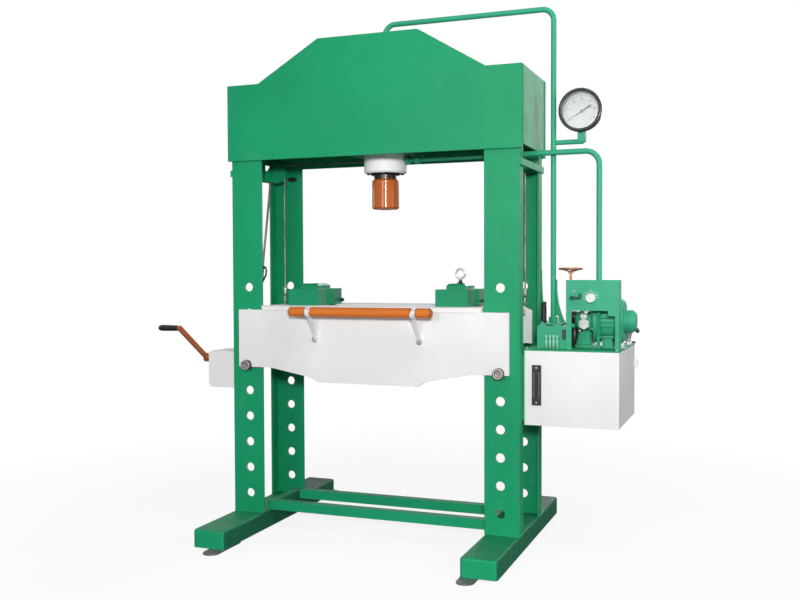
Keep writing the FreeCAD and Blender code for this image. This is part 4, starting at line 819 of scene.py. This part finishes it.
# ------------ tank
# Folded and welded oil tank in pale grey with a bolted green lid. A black sight strip with a glass
# and plain ticks is screwed to its front, and a breather cup with a toggle stands on its right.
def hex_bolt(form, centre, axis, across):
    """Bolt head with a washer under it, standing on a face."""
    corner = across / math.sqrt(3)
    round_bar(form, centre, axis, radius=corner * 1.25, low=0, high=across * 0.09, steps=20)
    turned(form, [(0, across * 0.05), (corner, across * 0.05), (corner, across * 0.6),
                  (corner * 0.86, across * 0.7), (0, across * 0.7)], centre, axis, steps=6)


tank_low, tank_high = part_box("tank")
lid_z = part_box("tank_lid")[1][2]
strip_black = steel("strip_black_lacquer", colour(17, 17, 17), colour(10, 10, 10), roughness=0.5,
                    scratch=0.05, metal=0.0)
tick_white = moulded("tick_white", colour(206, 208, 202), roughness=0.4, grain=0.05)
glass_tube = moulded("sight_glass", colour(58, 56, 46), roughness=0.2, grain=0.02)
cup_steel = steel("brushed_cup_steel", colour(214, 216, 216), colour(176, 180, 180),
                  roughness=0.3, scratch=0.2, metal=0.6)
coated(pale, "tank")
coated(green, "tank_lid", "tank_brackets")
coated(strip_black, "level_strip")
coated(cup_steel, "breather")

strip_low, strip_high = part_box("level_strip")
strip_x, strip_front = middle("level_strip")[0], strip_low[1]
screw_rise, sunk = 0.012, 0.0005  # fittings are sunk a little into what they stand on
tick_count, tick_low, tick_step, ticks_x = 13, 0.036, 0.0087, (-0.0135, 0.0085)
level_tick, sight_window = oblong(0, 0, 0.005, 0.0014), oblong(-0.005, 0.034, 0.005, 0.142)
form = bmesh.new()
for z in (strip_low[2] + screw_rise, strip_high[2] - screw_rise):
    cap_screw(form, (strip_x, strip_front + sunk, z), (0, -1, 0), size=0.0045)
shown(form, "strip_screws", zinc, "frame")
form = bmesh.new()
for n in range(tick_count):
    z = strip_low[2] + tick_low + n * tick_step
    for x in ticks_x:
        swept(form, level_tick, "Y", (strip_x + x, strip_front, z), depths=(0.0004, -0.0006))
shown(form, "level_ticks", tick_white, "frame", smooth=False)
form = bmesh.new()
swept(form, sight_window, "Y", (strip_x, strip_front, strip_low[2]), depths=(0.0006, -0.0014))
shown(form, "sight_glass", glass_tube, "frame", smooth=False)

toggle_x, toggle_y, toggle_z = tank_high[0] + 0.012, ram_y + 0.2635, 0.974
toggle = [(0, 0), (0.0100, 0.002), (0.0115, 0.008), (0.0105, 0.017), (0, 0.019)]
toggle_wire = [Vector((tank_high[0] + x, toggle_y, z))
               for x, z in ((-0.012, 0.966), (0.016, 0.976))]
catch = [(-0.018, 0.326), (0.002, 0.326), (0.004, 0.338), (-0.020, 0.338)]
form = bmesh.new()
turned(form, toggle, (toggle_x, toggle_y, toggle_z), (1, 0, 0.25), steps=20)
strands(form, toggle_wire, radius=0.0022)
swept(form, catch, "Z", (tank_high[0], ram_y, 0), depths=(lid_z + sunk, lid_z + 0.009))
shown(form, "breather_toggle", black, "frame", smooth=False)

lug_x, lug_z = tank_high[0] + 0.0003, 0.816
lug_reach, lug_half, lug_foot = 0.018, 0.022, 0.026
half_round = [(lug_reach * math.cos(a), lug_half * math.sin(a))
              for a in (math.radians(-80 + 16 * n) for n in range(11))]
form = bmesh.new()
swept(form, [(0, -lug_foot), *half_round, (0, lug_foot)], "Y", (lug_x, ram_y, lug_z),
      depths=(0.324, 0.336))
shown(form, "tank_lug", pale, "frame", smooth=False)

bolt_inset = 0.012
form = bmesh.new()
for x in (tank_low[0] + bolt_inset, tank_high[0] - bolt_inset):
    for y in (tank_low[1] + bolt_inset, middle("tank")[1] + 0.03, tank_high[1] - 0.04):
        hex_bolt(form, (x, y, lid_z), (0, 0, 1), across=0.009)
shown(form, "lid_bolts", zinc, "frame", smooth=False)


# ------------ panel, knob, lever and handwheel
# Folded green sheet with a window. The white knob sets the pressure against a ring of ticks, the
# dark green lever shifts the valve, and the copper-brown handwheel opens the bypass.
def tick(form, centre, turn, reach, half_width, length, depths):
    """A printed line on a dial's face, along its radius; a negative length points inward."""
    out = Vector((math.cos(turn), 0, math.sin(turn)))
    across = Vector((-out.z, 0, out.x)) * half_width
    base = Vector(centre) + out * reach
    corners = [base - across, base + across, base + across + out * length,
               base - across + out * length]
    ringed(form, [[corner + Vector((0, depth, 0)) for corner in corners] for depth in depths])


pack_green = paint("pack_green_enamel", colour(50, 160, 122), colour(120, 176, 152),
                   colour(150, 190, 172), roughness=0.36, wear=0.5)
lever_green = paint("lever_green_enamel", colour(4, 72, 46), colour(40, 110, 80),
                    colour(60, 120, 96), roughness=0.36, wear=0.5)
wheel_metal = steel("copper_brown_lacquer", colour(168, 112, 84), colour(122, 84, 64),
                    roughness=0.34, scratch=0.2, metal=0.5)
white_plastic = moulded("white_moulding", colour(226, 231, 227), roughness=0.35, grain=0.1)
coated(pack_green, "control_panel", "control_valve")
coated(lever_green, "valve_lever")
coated(wheel_metal, "handwheel")
coated(white_plastic, "pressure_knob")
panel_low, panel_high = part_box("control_panel")
knob_x, _, knob_z = middle("pressure_knob")
spacing, long_tick, short_tick = 22, 0.011, 0.008  # degrees, and lengths
form = bmesh.new()
for n in range(-5, 5):
    tick(form, (knob_x, panel_low[1], knob_z), math.radians(90 - n * spacing), reach=0.0245,
         half_width=0.0013, length=short_tick if n % 3 else long_tick, depths=(0.0003, -0.0005))
shown(form, "knob_ticks", tick_white, "frame", smooth=False)
panel_screw = (panel_low[0] + 0.036, panel_low[1] + sunk, panel_high[2] - 0.050)
form = bmesh.new()
cap_screw(form, panel_screw, (0, -1, 0), size=0.005)
shown(form, "panel_screws", zinc, "frame")

# ------------ manifold and solenoid valve
# Drilled green block with cap screws in its cover, a black plug in its front and a thin black strip
# under its cover, painted shade of a slot there, a row of pale green studs before it, and a black
# upright coil.
fitting_green = paint("fitting_pale_green", colour(122, 196, 166), colour(40, 96, 74),
                      colour(60, 120, 96), roughness=0.3, wear=1.0)
coated(pack_green, "manifold")
coated(rubber, "solenoid")
block_low, block_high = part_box("manifold")
cover_inset, studs_x = 0.014, (0.044, 0.060, 0.076, 0.092)
slot_shade_strip, end_plug = oblong(0.040, -0.012, 0.074, -0.005), oblong(0.114, -0.070, 0.129, -0.028)
front_top = (block_low[0], block_low[1], block_high[2])
stud_y, stud_z = block_low[1] - 0.009, block_low[2] + 0.001
necked_stud = [(0, 0), (0.0068, 0), (0.0068, 0.034), (0.0055, 0.036), (0.0055, 0.044),
               (0.0068, 0.046), (0.0068, 0.058), (0, 0.06)]
form = bmesh.new()
for x in (block_low[0] + 0.020, block_high[0] - 0.034):
    for y in (block_low[1] + cover_inset, block_high[1] - cover_inset):
        cap_screw(form, (x, y, block_high[2] - sunk), (0, 0, 1), size=0.006)
shown(form, "manifold_screws", zinc, "frame")
form = bmesh.new()
# Painted shade: a thin black strip under the cover stands for the shade in a slot.
swept(form, slot_shade_strip, "Y", front_top, depths=(0.0003, -0.0007))
swept(form, end_plug, "Y", front_top, depths=(0.0003, -0.006))
shown(form, "manifold_end_plug", black, "frame", smooth=False)
form = bmesh.new()
for x in studs_x:
    turned(form, necked_stud, (block_low[0] + x, stud_y, stud_z), (0, 0, 1), steps=12)
shown(form, "manifold_studs", fitting_green, "frame")

# ------------ motor and pump
# Ribbed motor with a domed fan cowl, flanged to a gear pump by a cast bell. Hexagon bolts hold the
# flanges, cap screws hold the cowl, and a cast pedestal carries the pump on the tank's lid.
coated(pack_green, "motor_body", "motor_cowl", "bell_housing", "pump", "motor_mount")
coated(white_plastic, "pump_caps")
coated(dark, "motor_rotor")
flange_ring, cowl_ring = 0.086, 0.0995
flange_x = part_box("motor_body")[0][0] + sunk - 0.0112  # the bell's flange, before the motor's
cowl_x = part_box("motor_cowl")[0][0] + 0.006
_, motor_y, motor_z = middle("motor_body")
form = bmesh.new()
for turn in angles_of(8, 22.5):
    y, z = motor_y + math.cos(turn) * flange_ring, motor_z + math.sin(turn) * flange_ring
    hex_bolt(form, (flange_x, y, z), (-1, 0, 0), across=0.010)
for turn in angles_of(6):
    y, z = motor_y + math.cos(turn) * cowl_ring, motor_z + math.sin(turn) * cowl_ring
    cap_screw(form, (cowl_x, y, z), (0, math.cos(turn), math.sin(turn)), size=0.0035)
shown(form, "motor_bolts", zinc, "frame")

pump_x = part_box("pump")[0][0]
pedestal_z, cut = lid_z + 0.0665, 0.008  # the pump's underside, and the corners cut off
# Height, left, right, front and back of each ring.
pedestal = ((-0.066, 0.004, 0.086, -0.068, 0.066), (-0.056, 0.004, 0.086, -0.068, 0.066),
            (-0.052, 0.008, 0.080, -0.058, 0.056), (0.004, 0.016, 0.072, -0.036, 0.036))
form = bmesh.new()
rows = []
for z, left, right, near, far in pedestal:
    x0, x1, y0, y1 = pump_x + left, pump_x + right, motor_y + near, motor_y + far
    rows.append([(x, y, pedestal_z + z) for x, y in (
        (x0 + cut, y0), (x1 - cut, y0), (x1, y0 + cut), (x1, y1 - cut),
        (x1 - cut, y1), (x0 + cut, y1), (x0, y1 - cut), (x0, y0 + cut))])
ringed(form, rows)
shown(form, "pump_pedestal", pack_green, "frame", smooth=False)

# ------------ pipes and suction filter
# Bent steel tube with screwed fittings, in the power pack's green: the feed to the cylinder and
# the return, which drops to a flange on the lid. A black filter bowl stands on the lid beside it.
coated(pack_green, "feed_pipe", "return_pipe", "pipe_fittings")
pipe_foot = (ram_x + 1.026, ram_y - 0.0455, lid_z)
filter_foot = (ram_x + 0.897, ram_y + 0.0785, lid_z)
drop_pipe = [(0, 0.0005), (0.0135, 0.0005), (0.0135, 0.010), (0.0075, 0.012), (0.0075, 0.200),
             (0, 0.200)]
filter_bowl = [(0, 0.0005), (0.024, 0.0005), (0.024, 0.006), (0.019, 0.008), (0.019, 0.118),
               (0.0215, 0.120), (0.0215, 0.142), (0.0195, 0.146), (0.0195, 0.156), (0.010, 0.160),
               (0, 0.160)]
form = bmesh.new()
turned(form, drop_pipe, pipe_foot, (0, 0, 1), steps=24)
round_bar(form, pipe_foot, (0, 0, 1), radius=0.0125, low=0.148, high=0.164, steps=6)
shown(form, "return_drop_pipe", pack_green, "frame")
form = bmesh.new()
turned(form, filter_bowl, filter_foot, (0, 0, 1), steps=32)
shown(form, "suction_filter", black, "frame")

# ------------ pressure gauge
# Black-lacquered case and bezel with a glass, a white dial with printed ticks and plain numbers,
# and a black needle.
gauge_black = moulded("gauge_lacquer", colour(32, 37, 37), roughness=0.28, grain=0.05)
dial_ink = moulded("dial_ink", colour(52, 52, 54), roughness=0.5, grain=0.02)
glass, shader, place = new_finish("gauge_pane")
fixed(shader, {"Base Color": (0.96, 0.98, 0.97, 1), "Specular IOR Level": 0.2, "Alpha": 0.12})
(noise(place, scale=30.0, detail=3.0) * 0.05 + 0.02).into(shader, "Roughness")
coated(gauge_black, "gauge_case", "gauge_needle")
coated(white_plastic, "gauge_dial")
coated(glass, "gauge_glass")

glass_low, glass_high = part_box("gauge_glass")
glass_x, _, glass_z = middle("gauge_glass")
rim = (glass_high[0] - glass_low[0]) / 2
bezel = [(-0.0010, -0.0012), (-0.0004, 0.0022), (0.0050, 0.0040), (0.0110, 0.0032),
         (0.0132, 0.0006), (0.0132, -0.0230), (0.0118, -0.0245), (0.0094, -0.0245),
         (0.0094, -0.0004), (-0.0010, -0.0012)]
form = bmesh.new()
turned(form, [(rim + out, along) for out, along in bezel],
       (glass_x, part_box("gauge_case")[0][1], glass_z), (0, -1, 0), steps=72)
bmesh.ops.remove_doubles(form, verts=form.verts, dist=0.00001)
shown(form, "gauge_bezel", gauge_black, "frame")

full, zero, sweep = 60, 210, 240  # the last number, and the scale's start and length in degrees
tick_sizes = {10: (0.0009, 0.009), 5: (0.0006, 0.0065), 1: (0.0004, 0.0045)}
numbers_reach, ink = 0.056, 0.0002
dial_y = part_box("gauge_dial")[0][1]
dial_x, _, dial_z = middle("gauge_dial")
form = bmesh.new()
for n in range(full + 1):
    half_width, length = next(size for every, size in tick_sizes.items() if n % every == 0)
    tick(form, (dial_x, dial_y, dial_z), math.radians(zero - n * sweep / full), reach=0.0745,
         half_width=half_width, length=-length, depths=(0.0001, -0.0003))
shown(form, "dial_ticks", dial_ink, "frame", smooth=False)
for n in range(0, full + 1, 10):
    turn = math.radians(zero - n * sweep / full)
    letter = bpy.data.curves.new("dial_number_%d" % n, "FONT")
    letter.body = str(n)
    letter.size = 0.0125
    letter.align_x = "CENTER"
    letter.align_y = "CENTER"
    letter.extrude = ink
    letter.materials.append(dial_ink)
    number = bpy.data.objects.new("dial_number_%d" % n, letter)
    number.location = (dial_x + math.cos(turn) * numbers_reach, dial_y - ink,
                       dial_z + math.sin(turn) * numbers_reach)
    number.rotation_euler = (math.radians(90), 0, 0)
    bpy.context.scene.collection.objects.link(number)
    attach(number, "frame")
